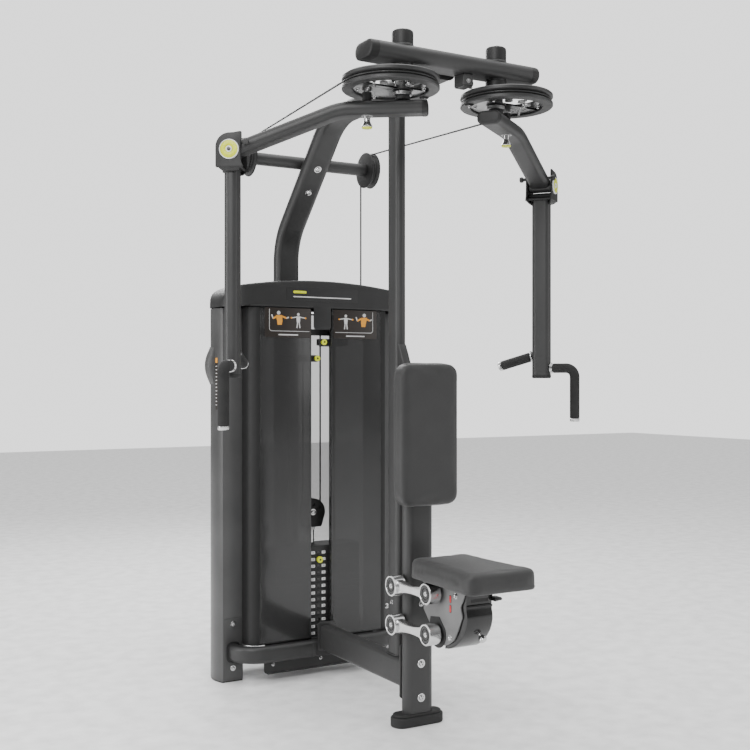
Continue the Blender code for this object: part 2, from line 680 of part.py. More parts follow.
def make_cable():
    pitch = TOP_PULLEY_PITCH
    for side, word in ((-1, "left"), (1, "right")):
        top = Vector((side * GUIDE_X, BAR_Y - 0.004, BAR_Z + GUIDE_PITCH))
        spot = cam_tangent(side)
        wire("cable_run_" + word, [spot.lerp(top, 0.075), top], CABLE_RADIUS, CABLE)
        start, way, length = cable_plane(side)
        inner, outer = top_pulley_centers(side)
        route = [(side * GUIDE_X, y, z) for y, z in arc((BAR_Y, BAR_Z), GUIDE_PITCH, 90, 0, 6)]
        turns = (arc((length - pitch, outer[2]), pitch, 0, -90, 5)
                 + arc((pitch, inner[2]), pitch, 90, 180, 5))
        route += [(*(start + way * s), z) for s, z in turns]
        wire("cable_drop_" + word, route, CABLE_RADIUS, CABLE)
        for place, where in (("inner", inner), ("outer", outer)):
            sheave("top_pulley_%s_%s" % (place, word), where, (-way.y, way.x, 0),
                   pitch - CABLE_RADIUS - 0.0004, pitch + 0.005, 0.007, 0.008)
        sheave("guide_pulley_" + word, (side * GUIDE_X, BAR_Y, BAR_Z), (1, 0, 0),
               GUIDE_PITCH - CABLE_RADIUS - 0.0004, 0.067, GUIDE_HALF, AXLE_RADIUS + 0.0005)
    strand_top = top_pulley_centers(1)[0][2] - 0.001
    loop = arc((0, FLOAT_Z), FLOAT_PITCH, 0, -180, 10)
    strand = [(FLOAT_PITCH, strand_top)] + loop + [(-FLOAT_PITCH, strand_top)]
    wire("lift_cable", [(x, ROD_Y, z) for x, z in strand], CABLE_RADIUS, CABLE)


# ---------------------------------------------------------------- arms

def arm_frame(side):
    """Plan direction along one arm, and square to it towards the front."""
    along = Vector((side * math.cos(ARM_ANGLE), math.sin(ARM_ANGLE), 0.0))
    across = Vector((side * math.sin(ARM_ANGLE), -math.cos(ARM_ANGLE), 0.0))
    return along, across


def arm_point(side, reach, offset, z):
    along, across = arm_frame(side)
    place = Vector((side * PIVOT_X, BEAM_Y, 0.0)) + along * reach + across * offset
    return Vector((place.x, place.y, z))


def make_cam(side, word):
    center = (side * (PIVOT_X + CAM_OFFSET), BEAM_Y, CAM_Z)
    groove = CAM_RADIUS - GROOVE_DEPTH
    profile = [(0, CAM_WEB_HALF), (CAM_WEB_RADIUS, CAM_WEB_HALF), (CAM_WEB_RADIUS + 0.002, CAM_HALF),
               (CAM_RADIUS, CAM_HALF), (CAM_RADIUS, GROOVE_HALF + 0.003),
               (groove, GROOVE_HALF - 0.001), (groove, -GROOVE_HALF + 0.001),
               (CAM_RADIUS, -GROOVE_HALF - 0.003), (CAM_RADIUS, -CAM_HALF),
               (CAM_WEB_RADIUS + 0.002, -CAM_HALF), (CAM_WEB_RADIUS, -CAM_WEB_HALF),
               (0, -CAM_WEB_HALF)]
    cam = turned("cam_" + word, profile, center, (0, 0, 1), STEEL, 36)
    x = side * PIVOT_X
    low = ARM_Z + ARM_HEIGHT / 2 + 0.003
    weld(cam, cylinder("cam_hub", (x, BEAM_Y, low), (x, BEAM_Y, BEAM_BOTTOM - 0.003), 0.0325,
                       STEEL, 24))


def make_arm(side, word):
    slope = (ARM_Z - ELBOW_Z) / (ARM_REACH - ARM_BEND)
    tip = ARM_REACH - 0.014
    round_off = 0.035
    line = [arm_point(side, -ARM_TAIL, 0, ARM_Z), arm_point(side, ARM_BEND - round_off, 0, ARM_Z),
            arm_point(side, ARM_BEND - round_off / 3, 0, ARM_Z - 0.0012),
            arm_point(side, ARM_BEND + round_off / 3, 0, ARM_Z - 0.0055),
            arm_point(side, ARM_BEND + round_off, 0, ARM_Z - slope * round_off),
            arm_point(side, tip, 0, ARM_Z - slope * (tip - ARM_BEND))]
    section = rounded_rect(ARM_WIDTH, ARM_HEIGHT, 0.018, 3)
    arm = bent_tube("arm_" + word, line, section, STEEL)
    barrel = cylinder("elbow_barrel", arm_point(side, ARM_REACH, -BARREL_HALF, ELBOW_Z),
                      arm_point(side, ARM_REACH, BARREL_HALF, ELBOW_Z), BARREL_RADIUS, STEEL, 20)
    lock_reach, lock_z = ARM_REACH - LOCK_BACK, ELBOW_Z + LOCK_RISE
    lock = cylinder("elbow_lock", arm_point(side, lock_reach, -LOCK_HALF, lock_z),
                    arm_point(side, lock_reach, LOCK_HALF, lock_z), LOCK_RADIUS, BLACK, 12)
    weld(arm, barrel, lock)
    bottom = ARM_Z - ARM_HEIGHT / 2
    cut(arm, cylinder("pin_bore", arm_point(side, PIN_REACH, 0, bottom - 0.02),
                      arm_point(side, PIN_REACH, 0, ARM_Z + 0.04), 0.0085, STEEL, 14),
        cylinder("elbow_bore", arm_point(side, ARM_REACH, -0.06, ELBOW_Z),
                 arm_point(side, ARM_REACH, 0.06, ELBOW_Z), ELBOW_PIN_RADIUS + 0.001, STEEL, 16))
    tip_z = CAM_Z - CAM_WEB_HALF - 0.0005
    knob_top = bottom - GAP
    stem_long = tip_z - knob_top
    knob = [(0, stem_long), (PIN_STEM, stem_long), (PIN_STEM, 0.0), (0.0105, 0.0), (0.0095, -0.014),
            (0.0135, -0.024), (0.0160, -0.031), (0.0150, -PIN_KNOB), (0, -PIN_KNOB)]
    turned("pop_pin_" + word, knob, arm_point(side, PIN_REACH, 0, knob_top), (0, 0, 1), CHROME, 18)


def elbow_outline():
    """Side view of an elbow plate, x outwards along the arm and z from the pivot."""
    return (arc((0.0, 0.008), 0.041, 0, 90, 7)
            + [(-0.012, 0.0495), (-0.030, 0.0525), (-0.0365, 0.0500), (-0.0365, 0.0300),
               (-0.0335, 0.0180), (-0.0345, -0.0300), (-0.0400, -0.0450), (-0.0400, -0.0520),
               (0.0380, -0.0520), (0.0410, -0.0480)])


def make_drop_arm(side, word):
    along, across = arm_frame(side)
    center = arm_point(side, ARM_REACH, 0, ELBOW_Z)
    basis = Matrix((along, Vector((0, 0, 1)), across * -1)).transposed().to_4x4()
    if side < 0:
        basis = Matrix((along, Vector((0, 0, 1)), across)).transposed().to_4x4()
    place = Matrix.Translation(center) @ basis

    loops = tube_loops(DROP_THICK, DROP_WIDTH, 0.018)
    turn = Matrix.Translation((center.x, center.y, 0)) @ Matrix.Rotation(
        math.atan2(along.y, along.x), 4, "Z")
    tube = prism("drop_arm_" + word, loops, "XY", DROP_BOTTOM, ELBOW_Z - 0.046, STEEL, turn)
    for way in (-1, 1):
        low = way * PLATE_INNER
        high = way * (PLATE_INNER + PLATE_THICK)
        plate = prism("elbow_plate", [elbow_outline()], "XY", low, high, STEEL, place)
        weld(tube, plate)
    reach = PLATE_INNER + PLATE_THICK
    bridge = prism("elbow_bridge", [[(-0.028, -0.0505), (0.036, -0.0505), (0.036, -0.0435),
                                     (-0.028, -0.0435)]], "XY", -reach + 0.001, reach - 0.001,
                   STEEL, place)
    pin = cylinder("elbow_pin", arm_point(side, ARM_REACH, -0.050, ELBOW_Z),
                   arm_point(side, ARM_REACH, 0.051, ELBOW_Z), ELBOW_PIN_RADIUS, CHROME, 16)
    weld(tube, bridge, pin)


def make_grips(side, word):
    start = DROP_WIDTH / 2 + GAP
    bend, level, bottom = 0.030, 1.115, 0.931
    reach = 0.117
    line = [(start, level)] + arc((reach - bend, level - bend), bend, 90, 0, 5) + [(reach, bottom)]
    wire("l_grip_" + word, [arm_point(side, ARM_REACH, n, z) for n, z in line], GRIP_RADIUS,
         RUBBER, 3)
    short = [(-start - 0.006, 1.155), (-0.1535, 1.121)]
    wire("short_grip_" + word, [arm_point(side, ARM_REACH, n, z) for n, z in short], GRIP_RADIUS,
         RUBBER, 3)


def make_arms():
    for side, word in ((-1, "left"), (1, "right")):
        make_cam(side, word)
        make_arm(side, word)
        make_drop_arm(side, word)
        make_grips(side, word)


# ---------------------------------------------------------------- seat

def link_outline(level):
    """Side view of a link: a ring at each end and a waisted web between them."""
    rear, front = Vector((LINK_REAR_Y, level)), Vector((LINK_FRONT_Y, level + LINK_RISE))
    waist = 0.013
    middle = (rear + front) / 2
    return (arc(rear, LINK_RING, -140, 140, 12)
            + [(middle.x + 0.025, middle.y + waist), (middle.x - 0.030, middle.y + waist)]
            + arc(front, LINK_RING, 40, 320, 12)
            + [(middle.x - 0.030, middle.y - waist - 0.006), (middle.x + 0.025, middle.y - waist)])


def make_link(word):
    level = LINK_Z[word]
    link = prism(word + "_link", [link_outline(level)], "YZ", LINK_IN, LINK_OUT, ALLOY)
    weld(link, prism("link_half", [link_outline(level)], "YZ", -LINK_OUT, -LINK_IN, ALLOY))
    for y, z in ((LINK_REAR_Y, level), (LINK_FRONT_Y, level + LINK_RISE)):
        weld(link, cylinder("link_shaft", (-LINK_OUT + 0.002, y, z), (LINK_OUT - 0.002, y, z),
                            SHAFT_RADIUS, CHROME, 20))


def carriage_outline():
    return ([(-0.118, 0.385), (-0.118, CARRIAGE_TOP), (-0.335, CARRIAGE_TOP), (-0.330, 0.450),
             (-0.312, 0.425), (-0.322, 0.398), (-0.300, 0.352)]
            + arc((-0.222, 0.358), 0.062, -125, -55, 4) + [(-0.165, 0.330)])[::-1]


def belly_line():
    """Side view of the cover under the seat, from its rear foot up to the pad."""
    return ([(-0.226, 0.289), (-0.262, 0.297), (-0.300, 0.322), (-0.338, 0.362), (-0.358, 0.398),
             (-0.349, 0.425), (-0.352, 0.470)])


def make_seat():
    for word in LINK_Z:
        make_link(word)
    carriage = prism("seat_carriage", [carriage_outline()], "YZ", -CARRIAGE_HALF, CARRIAGE_HALF,
                     STEEL)
    room = CARRIAGE_HALF - CARRIAGE_WALL
    cut(carriage, box("carriage_room", (-room, -0.50, 0.20), (room, 0.0, CARRIAGE_TOP - 0.008),
                      STEEL))
    for level in LINK_Z.values():
        z = level + LINK_RISE
        cut(carriage, cylinder("carriage_hole", (-0.08, LINK_FRONT_Y, z), (0.08, LINK_FRONT_Y, z),
                               SHAFT_HOLE, STEEL, 20))
    prism("belly_cover", [strip(belly_line(), -0.004)], "YZ", -room + 0.0005, room - 0.0005, BLACK)
    lever = [(LEVER_IN, -0.352), (LEVER_OUT - 0.008, -0.352), (LEVER_OUT, -0.344),
             (LEVER_OUT, -0.318), (LEVER_OUT - 0.008, -0.310), (LEVER_IN, -0.310)]
    prism("seat_lever", [lever], "XY", LEVER_LOW, LEVER_LOW + LEVER_THICK, BLACK)
    mid = (SEAT_REAR + SEAT_FRONT) / 2
    long = SEAT_REAR - SEAT_FRONT
    taper = (SEAT_HALF_FRONT - SEAT_HALF_REAR) / long
    outline = []
    for x, y in rounded_rect(2 * SEAT_HALF_REAR, long, SEAT_CORNER, 4, (0, mid)):
        wide = 1 + (SEAT_REAR - y) * taper / SEAT_HALF_REAR
        outline.append((x * wide, y))
    prism("seat_pad", [outline], "XY", SEAT_LOW, SEAT_HIGH, VINYL)


def make_back_pad():
    middle = (PAD_LOW + PAD_HIGH) / 2
    outline = rounded_rect(2 * PAD_HALF, PAD_HIGH - PAD_LOW, 0.038, 5, (0, middle))
    prism("back_pad", [outline], "XZ", PAD_FRONT, -POST_DEPTH / 2 - GAP, VINYL)


make_front()
make_masts()
make_neck()
make_beam()
make_guide_bar()
make_tower()
make_base()
make_header()
make_stack()
make_selector_pin()
make_floating_pulley()
make_increments()
make_cable()
make_arms()
make_seat()
make_back_pad()
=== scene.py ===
"""Looks of the pec deck machine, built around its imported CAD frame."""
import math

import bmesh
import bpy
from mathutils import Matrix, Vector


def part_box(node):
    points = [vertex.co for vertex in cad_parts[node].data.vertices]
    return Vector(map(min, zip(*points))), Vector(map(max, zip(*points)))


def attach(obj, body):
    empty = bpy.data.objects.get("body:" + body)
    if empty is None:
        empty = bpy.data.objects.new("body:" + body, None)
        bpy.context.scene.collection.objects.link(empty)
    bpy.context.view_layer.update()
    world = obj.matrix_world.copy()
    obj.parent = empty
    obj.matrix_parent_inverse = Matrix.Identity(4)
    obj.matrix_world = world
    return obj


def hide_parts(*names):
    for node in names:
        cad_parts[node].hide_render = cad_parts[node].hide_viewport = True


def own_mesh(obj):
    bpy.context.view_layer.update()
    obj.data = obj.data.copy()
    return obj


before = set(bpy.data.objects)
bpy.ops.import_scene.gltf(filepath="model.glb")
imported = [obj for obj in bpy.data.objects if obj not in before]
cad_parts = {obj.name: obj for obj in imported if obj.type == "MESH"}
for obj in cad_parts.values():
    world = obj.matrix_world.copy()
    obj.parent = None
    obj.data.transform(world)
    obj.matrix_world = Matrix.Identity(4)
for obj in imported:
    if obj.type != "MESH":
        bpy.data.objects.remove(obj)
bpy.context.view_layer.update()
SIDES = ((-1, "left"), (1, "right"))
X_AXIS, Y_AXIS, Z_AXIS = Vector((1, 0, 0)), Vector((0, 1, 0)), Vector((0, 0, 1))


def low(node):
    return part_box(node)[0]


def high(node):
    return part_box(node)[1]


# ------------------------------------------------------------ materials

def linear(level):
    """A grey of 0 to 255 as a linear value."""
    share = level / 255
    return share / 12.92 if share <= 0.04045 else ((share + 0.055) / 1.055) ** 2.4


def grey(level):
    return (linear(level),) * 3


def tint(red, green, blue):
    return (linear(red), linear(green), linear(blue))


class Nodes:
    """A material's node tree, with short calls to add and join nodes."""

    def __init__(self, name):
        self.material = bpy.data.materials.new(name)
        self.material.use_nodes = True
        self.tree = self.material.node_tree
        self.shader = self.tree.nodes["Principled BSDF"]
        self.place = self.tree.nodes.new("ShaderNodeTexCoord").outputs["Object"]

    def add(self, kind, **settings):
        node = self.tree.nodes.new("ShaderNode" + kind)
        for key, value in settings.items():
            if hasattr(node, key):
                setattr(node, key, value)
            else:
                node.inputs[key.replace("_", " ")].default_value = value
        return node

    def join(self, source, target):
        self.tree.links.new(source, target)

    def noise(self, scale, detail=3.0, rough=0.5):
        node = self.add("TexNoise", Scale=scale, Detail=detail, Roughness=rough)
        self.join(self.place, node.inputs["Vector"])
        return node.outputs["Fac"]

    def ramp(self, source, first, second, start=0.3, stop=0.7):
        node = self.add("ValToRGB")
        node.color_ramp.elements[0].position = start
        node.color_ramp.elements[1].position = stop
        node.color_ramp.elements[0].color = (*first, 1)
        node.color_ramp.elements[1].color = (*second, 1)
        self.join(source, node.inputs["Fac"])
        return node.outputs["Color"]

    def span(self, source, least, most):
        node = self.add("MapRange", To_Min=least, To_Max=most)
        self.join(source, node.inputs["Value"])
        return node.outputs["Result"]

    def bump(self, source, depth, strength=1.0, after=None):
        node = self.add("Bump", Distance=depth, Strength=strength)
        self.join(source, node.inputs["Height"])
        if after is not None:
            self.join(after, node.inputs["Normal"])
        return node.outputs["Normal"]

    def put(self, name, value):
        target = self.shader.inputs[name]
        if isinstance(value, (int, float)):
            target.default_value = value
        elif isinstance(value, tuple):
            target.default_value = (*value, 1.0)
        else:
            self.join(value, target)


def painted(name, level, roughness=0.42, depth=0.00010, pale_edge_highlight=True):
    """Powder coat: fine orange peel, slight tone changes, and convex edges painted paler as a painted
    highlight.
    """
    nodes = Nodes(name)
    tone = nodes.ramp(nodes.noise(9.0, 4.0), grey(level * 0.92), grey(level * 1.08))
    if pale_edge_highlight:
        # painted highlight: convex edges found by pointiness are painted paler
        edge = nodes.add("NewGeometry").outputs["Pointiness"]
        highlight_edges = nodes.ramp(edge, (0, 0, 0), (1, 1, 1), 0.54, 0.66)
        mix = nodes.add("Mix", data_type="RGBA")
        share = nodes.add("Math", operation="MULTIPLY")
        nodes.join(highlight_edges, share.inputs[0])
        share.inputs[1].default_value = 0.45
        nodes.join(share.outputs[0], mix.inputs["Factor"])
        nodes.join(tone, mix.inputs["A"])
        mix.inputs["B"].default_value = (*grey(level * 2.0), 1.0)
        tone = mix.outputs["Result"]
    nodes.put("Base Color", tone)
    nodes.put("Roughness", nodes.span(nodes.noise(60.0, 3.0), roughness - 0.05, roughness + 0.07))
    nodes.put("Specular IOR Level", 0.55)
    nodes.put("Normal", nodes.bump(nodes.noise(1400.0, 2.0), depth, 0.5))
    return nodes.material


def moulded(name, color, roughness=0.4, grain=900.0, depth=0.00012, coat=0.0):
    """Moulded plastic or rubber with a spark-eroded grain."""
    nodes = Nodes(name)
    darker = tuple(part * 0.85 for part in color)
    lighter = tuple(min(part * 1.15, 1.0) for part in color)
    nodes.put("Base Color", nodes.ramp(nodes.noise(14.0, 4.0), darker, lighter))
    nodes.put("Roughness", nodes.span(nodes.noise(45.0), roughness - 0.05, roughness + 0.06))
    nodes.put("Coat Weight", coat)
    nodes.put("Normal", nodes.bump(nodes.noise(grain, 2.0), depth, 0.5))
    return nodes.material


def metal(name, level, roughness=0.15, grain=(40.0, 40.0, 900.0), depth=0.00002):
    """Bright metal with fine polishing lines and faint smudges."""
    nodes = Nodes(name)
    nodes.put("Metallic", 1.0)
    nodes.put("Base Color", nodes.ramp(nodes.noise(20.0, 4.0), grey(level * 0.93), grey(level)))
    stretch = nodes.add("Mapping", Scale=grain)
    nodes.join(nodes.place, stretch.inputs["Vector"])
    lines = nodes.add("TexNoise", Scale=3.0, Detail=3.0)
    nodes.join(stretch.outputs["Vector"], lines.inputs["Vector"])
    nodes.put("Roughness", nodes.span(lines.outputs["Fac"], roughness * 0.7, roughness * 1.5))
    nodes.put("Normal", nodes.bump(lines.outputs["Fac"], depth, 0.4))
    return nodes.material


def leather(name, level):
    """Synthetic leather: pebbled cells with fine creases and a soft sheen."""
    nodes = Nodes(name)
    cells = nodes.add("TexVoronoi", Scale=420.0, feature="F1")
    nodes.join(nodes.place, cells.inputs["Vector"])
    creases = nodes.add("TexVoronoi", Scale=160.0, feature="DISTANCE_TO_EDGE")
    nodes.join(nodes.place, creases.inputs["Vector"])
    tone = nodes.ramp(nodes.noise(7.0, 5.0), grey(level * 0.9), grey(level * 1.1))
    nodes.put("Base Color", tone)
    nodes.put("Roughness", nodes.span(nodes.noise(120.0, 4.0), 0.42, 0.58))
    nodes.put("Sheen Weight", 0.12)
    nodes.put("Sheen Roughness", 0.5)
    grain = nodes.bump(cells.outputs["Distance"], 0.00022, 0.5)
    nodes.put("Normal", nodes.bump(creases.outputs["Distance"], 0.00025, 0.35, grain))
    return nodes.material


def foam(name, level):
    """Closed-cell foam with a skin of small pores."""
    nodes = Nodes(name)
    pores = nodes.add("TexVoronoi", Scale=700.0)
    nodes.join(nodes.place, pores.inputs["Vector"])
    nodes.put("Base Color", nodes.ramp(nodes.noise(25.0, 5.0), grey(level * 0.8), grey(level * 1.2)))
    nodes.put("Roughness", nodes.span(nodes.noise(200.0), 0.72, 0.9))
    nodes.put("Normal", nodes.bump(pores.outputs["Distance"], 0.0003, 0.6))
    return nodes.material


def smoked(name, level, alpha, roughness=0.12):
    """Vacuum-formed smoked sheet, faintly rippled."""
    nodes = Nodes(name)
    nodes.put("Base Color", nodes.ramp(nodes.noise(3.0, 3.0), grey(level * 0.9), grey(level * 1.1)))
    nodes.put("Roughness", nodes.span(nodes.noise(30.0, 4.0), roughness, roughness + 0.06))
    nodes.put("Alpha", alpha)
    nodes.put("Coat Weight", 0.25)
    nodes.put("Coat Roughness", 0.08)
    nodes.put("Normal", nodes.bump(nodes.noise(7.0, 1.0), 0.0012, 0.25))
    return nodes.material


def sheathed(name, level):
    """Nylon over wire rope: a shallow twist under a glossy skin."""
    nodes = Nodes(name)
    twist = nodes.add("TexWave", Scale=260.0, Distortion=1.0, bands_direction="DIAGONAL")
    nodes.join(nodes.place, twist.inputs["Vector"])
    nodes.put("Base Color", nodes.ramp(twist.outputs["Fac"], grey(level * 0.8), grey(level * 1.3)))
    nodes.put("Roughness", nodes.span(nodes.noise(300.0), 0.3, 0.45))
    nodes.put("Normal", nodes.bump(twist.outputs["Fac"], 0.00015, 0.5))
    return nodes.material


STEEL = painted("charcoal_powder_coat", 39)
# painted light: the uprights get a paler copy of the charcoal coat, standing for the brighter light
# falling on them
STEEL_PAINTED_LIT = painted("upright_coat_painted_lit", 66, 0.36)
SATIN_GREY = painted("carriage_grey", 112, 0.45)
IRON = painted("stack_paint", 34, 0.5, 0.00016)
PLASTIC = moulded("black_plastic", grey(31), 0.46)
CAP = moulded("cap_plastic", grey(24), 0.5, 700.0, 0.0002)
GLOSS = moulded("gloss_black", grey(8), 0.24, 500.0, 0.00003, 0.2)
# painted shade: near-black return standing for the deep shadowed gap between shroud and upright
RETURN_SHADE = moulded("painted_shade_return", grey(9), 0.62, 700.0, 0.0001)
HOLDER = moulded("holder_plastic", grey(74), 0.5, 700.0, 0.0001)
RUBBER = moulded("foot_rubber", grey(34), 0.7, 600.0, 0.00025)
SHEAVE = moulded("pulley_nylon", grey(40), 0.4, 700.0, 0.0001)
LIME = moulded("lime_gloss", tint(214, 222, 20), 0.34, 800.0, 0.00004, 0.15)
WHITE = moulded("white_ring", grey(236), 0.35, 800.0, 0.00004)
AMBER = moulded("amber_print", tint(232, 158, 48), 0.5, 900.0, 0.00002)
RED = moulded("red_mark", tint(200, 26, 34), 0.4, 900.0, 0.00003)
PRINT = moulded("pale_print", grey(206), 0.5, 900.0, 0.00002)
PLACARD = moulded("placard_face", tint(38, 32, 28), 0.35, 500.0, 0.00003)
CHROME = metal("chrome", 214, 0.10)
ALLOY = metal("polished_alloy", 226, 0.20, (500.0, 60.0, 60.0), 0.00004)
ZINC = metal("zinc_plate", 176, 0.28, (90.0, 90.0, 90.0), 0.00005)
VINYL = leather("synthetic_leather", 40)
FOAM = foam("grip_foam", 30)
SMOKE = smoked("smoked_shroud", 46, 0.86)
CLEAR = smoked("rear_smoke", 96, 0.34)
CABLE = sheathed("cable_sheath", 34)


# ------------------------------------------------------------ shapes

def arc(center, radius, start, stop, count):
    """Points on an arc, angles in degrees."""
    turns = [math.radians(start + (stop - start) * i / count) for i in range(count + 1)]
    return [(center[0] + radius * math.cos(a), center[1] + radius * math.sin(a)) for a in turns]


def rounded_rect(width, height, radius, count=8, center=(0.0, 0.0)):
    points = []
    for quarter, (sx, sy) in enumerate(((1, 1), (-1, 1), (-1, -1), (1, -1))):
        corner = (center[0] + sx * (width / 2 - radius), center[1] + sy * (height / 2 - radius))
        points += arc(corner, radius, 90 * quarter, 90 * quarter + 90, count)
    return points


def circle(center, radius, count=24):
    return arc(center, radius, 0, 360, count)[:-1]


def finish_mesh(name, data, surface, angle=32):
    data.shade_smooth()
    data.set_sharp_from_angle(angle=math.radians(angle))
    data.materials.clear()
    data.materials.append(surface)
    made = bpy.data.objects.new(name, data)
    bpy.context.scene.collection.objects.link(made)
    return made


def baked(thing):
    """The mesh that an object shows, with its modifiers or its curve's depth applied."""
    bpy.context.view_layer.update()
    graph = bpy.context.evaluated_depsgraph_get()
    return bpy.data.meshes.new_from_object(thing.evaluated_get(graph))


def from_bmesh(name, work, surface, angle=32):
    bmesh.ops.recalc_face_normals(work, faces=work.faces)
    data = bpy.data.meshes.new(name)
    work.to_mesh(data)
    work.free()
    return finish_mesh(name, data, surface, angle)


def rings(name, loops, surface, cap=True, closed=False, angle=32):
    """Skin over a list of rings with equal numbers of points."""
    work = bmesh.new()
    rows = [[work.verts.new(point) for point in loop] for loop in loops]
    pairs = list(zip(rows, rows[1:] + rows[:1])) if closed else list(zip(rows, rows[1:]))
    for first, second in pairs:
        for index in range(len(first)):
            after = (index + 1) % len(first)
            work.faces.new((first[index], first[after], second[after], second[index]))
    if cap and not closed:
        work.faces.new(rows[0][::-1])
        work.faces.new(rows[-1])
    return from_bmesh(name, work, surface, angle)


def sweep(name, path, section, side, surface, cap=True):
    """A section carried along a plane path; side is square to the path's plane."""
    path = [Vector(point) for point in path]
    side = Vector(side).normalized()
    loops = []
    for index, point in enumerate(path):
        ahead = (path[min(index + 1, len(path) - 1)] - point)
        behind = (point - path[max(index - 1, 0)])
        ways = [way.normalized() for way in (ahead, behind) if way.length > 1e-9]
        way = sum(ways, Vector()).normalized()
        up = side.cross(way).normalized()
        grow = 1 / max(up.dot(side.cross(ways[0]).normalized()), 0.5)
        loops.append([point + side * x + up * y * grow for x, y in section])
    return rings(name, loops, surface, cap)


def frame_for(axis):
    return Z_AXIS.rotation_difference(Vector(axis)).to_matrix()


def lathe(name, profile, center, axis, surface, steps=48, angle=32):
    """A profile of (radius, height) turned about an axis; zero radius closes an end."""
    work = bmesh.new()
    basis, center = frame_for(axis), Vector(center)
    rows = []
    for radius, height in profile:
        if radius < 1e-6:
            rows.append([work.verts.new(center + basis @ Vector((0, 0, height)))])
            continue
        rows.append([work.verts.new(center + basis @ Vector((x, y, height)))
                     for x, y in circle((0, 0), radius, steps)])
    for first, second in zip(rows, rows[1:]):
        for index in range(steps):
            after = (index + 1) % steps
            if len(first) == 1 and len(second) == 1:
                continue
            if len(first) == 1:
                work.faces.new((first[0], second[after], second[index]))
            elif len(second) == 1:
                work.faces.new((first[index], first[after], second[0]))
            else:
                work.faces.new((first[index], first[after], second[after], second[index]))
    return from_bmesh(name, work, surface, angle)


def slab(name, loops, normal, across, center, depth, surface, soft=0.0, angle=32):
    """A flat outline with holes, given depth along normal, its rims rounded by soft."""
    data = bpy.data.curves.new(name, "CURVE")
    data.dimensions = "2D"
    data.fill_mode = "BOTH"
    data.extrude = depth / 2 - soft
    data.bevel_depth = soft
    data.bevel_resolution = 2
    data.offset = -soft
    for loop in loops:
        spline = data.splines.new("POLY")
        spline.points.add(len(loop) - 1)
        for point, spot in zip(spline.points, loop):
            point.co = (spot[0], spot[1], 0.0, 1.0)
        spline.use_cyclic_u = True
    holder = bpy.data.objects.new(name, data)
    bpy.context.scene.collection.objects.link(holder)
    mesh = baked(holder)
    bpy.data.objects.remove(holder, do_unlink=True)
    normal, across = Vector(normal).normalized(), Vector(across).normalized()
    basis = Matrix((across, normal.cross(across), normal)).transposed().to_4x4()
    mesh.transform(Matrix.Translation(Vector(center)) @ basis)
    work = bmesh.new()
    work.from_mesh(mesh)
    bmesh.ops.remove_doubles(work, verts=work.verts, dist=0.00002)
    bmesh.ops.recalc_face_normals(work, faces=work.faces)
    work.to_mesh(mesh)
    work.free()
    return finish_mesh(name, mesh, surface, angle)


def block(name, lowest, highest, surface, soft=0.002):
    """A box with rounded edges."""
    lowest, highest = Vector(lowest), Vector(highest)
    size, center = highest - lowest, (lowest + highest) / 2
    work = bmesh.new()
    bmesh.ops.create_cube(work, size=1.0)
    bmesh.ops.scale(work, vec=size, verts=work.verts)
    bmesh.ops.bevel(work, geom=work.edges[:], offset=soft, segments=3, affect="EDGES")
    bmesh.ops.translate(work, vec=center, verts=work.verts)
    return from_bmesh(name, work, surface)


def rod(name, start, end, radius, surface, soft=0.001, steps=32):
    start, end = Vector(start), Vector(end)
    length = (end - start).length
    profile = [(0, 0), (radius - soft, 0), (radius, soft), (radius, length - soft),
               (radius - soft, length), (0, length)]
    return lathe(name, profile, start, end - start, surface, steps)


def pipe(name, path, radius, surface, steps=20):
    """A round tube along any path."""
    data = bpy.data.curves.new(name, "CURVE")
    data.dimensions = "3D"
    data.bevel_depth = radius
    data.bevel_resolution = steps // 4
    data.use_fill_caps = True
    spline = data.splines.new("POLY")
    spline.points.add(len(path) - 1)
    for point, spot in zip(spline.points, path):
        point.co = (*spot, 1.0)
    holder = bpy.data.objects.new(name, data)
    bpy.context.scene.collection.objects.link(holder)
    mesh = baked(holder)
    bpy.data.objects.remove(holder, do_unlink=True)
    return finish_mesh(name, mesh, surface, 40)


def join(name, parts):
    """One object from several, each keeping its material."""
    data = bpy.data.meshes.new(name)
    work = bmesh.new()
    for part in parts:
        slots = []
        for surface in part.data.materials:
            if surface.name not in data.materials:
                data.materials.append(surface)
            slots.append(data.materials.find(surface.name))
        start = len(work.faces)
        work.from_mesh(part.data)
        work.faces.ensure_lookup_table()
        for face in work.faces[start:]:
            face.material_index = slots[face.material_index] if slots else 0
        bpy.data.objects.remove(part, do_unlink=True)
    work.to_mesh(data)
    work.free()
    made = bpy.data.objects.new(name, data)
    bpy.context.scene.collection.objects.link(made)
    return made


def place(piece, body, slot, *nodes):
    """Hang a finished piece on its body and hide the CAD nodes it stands for; slot is not used."""
    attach(piece, body)
    if nodes:
        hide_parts(*nodes)
    return piece


def bolt(center, axis, radius=0.0085, washer=0.0135, surface=None):
    """A domed socket screw on a washer, its head standing out along axis."""
    surface = surface or CHROME
    socket = radius * 0.45
    profile = [(0, 0), (washer, 0), (washer, 0.0012), (washer - 0.0004, 0.0016), (radius, 0.0016),
               (radius, 0.0035), (radius * 0.86, 0.0062), (radius * 0.6, 0.0074), (socket, 0.0076),
               (socket * 0.95, 0.0045), (0, 0.0042)]
    return lathe("bolt", profile, center, axis, surface, 24, 25)


def bead(name, loop, radius=0.0022):
    """A weld bead around a joint: a closed line of overlapping ripples."""
    points = [Vector(point) for point in loop]
    total = len(points)
    loops = []
    for index, point in enumerate(points):
        way = (points[(index + 1) % total] - points[index - 1]).normalized()
        basis = frame_for(way)
        size = radius * (1 + 0.18 * math.sin(index * 2.4))
        loops.append([point + basis @ Vector((x, y, 0)) for x, y in circle((0, 0), size, 8)])
    return rings(name, loops, STEEL, cap=False, closed=True, angle=60)


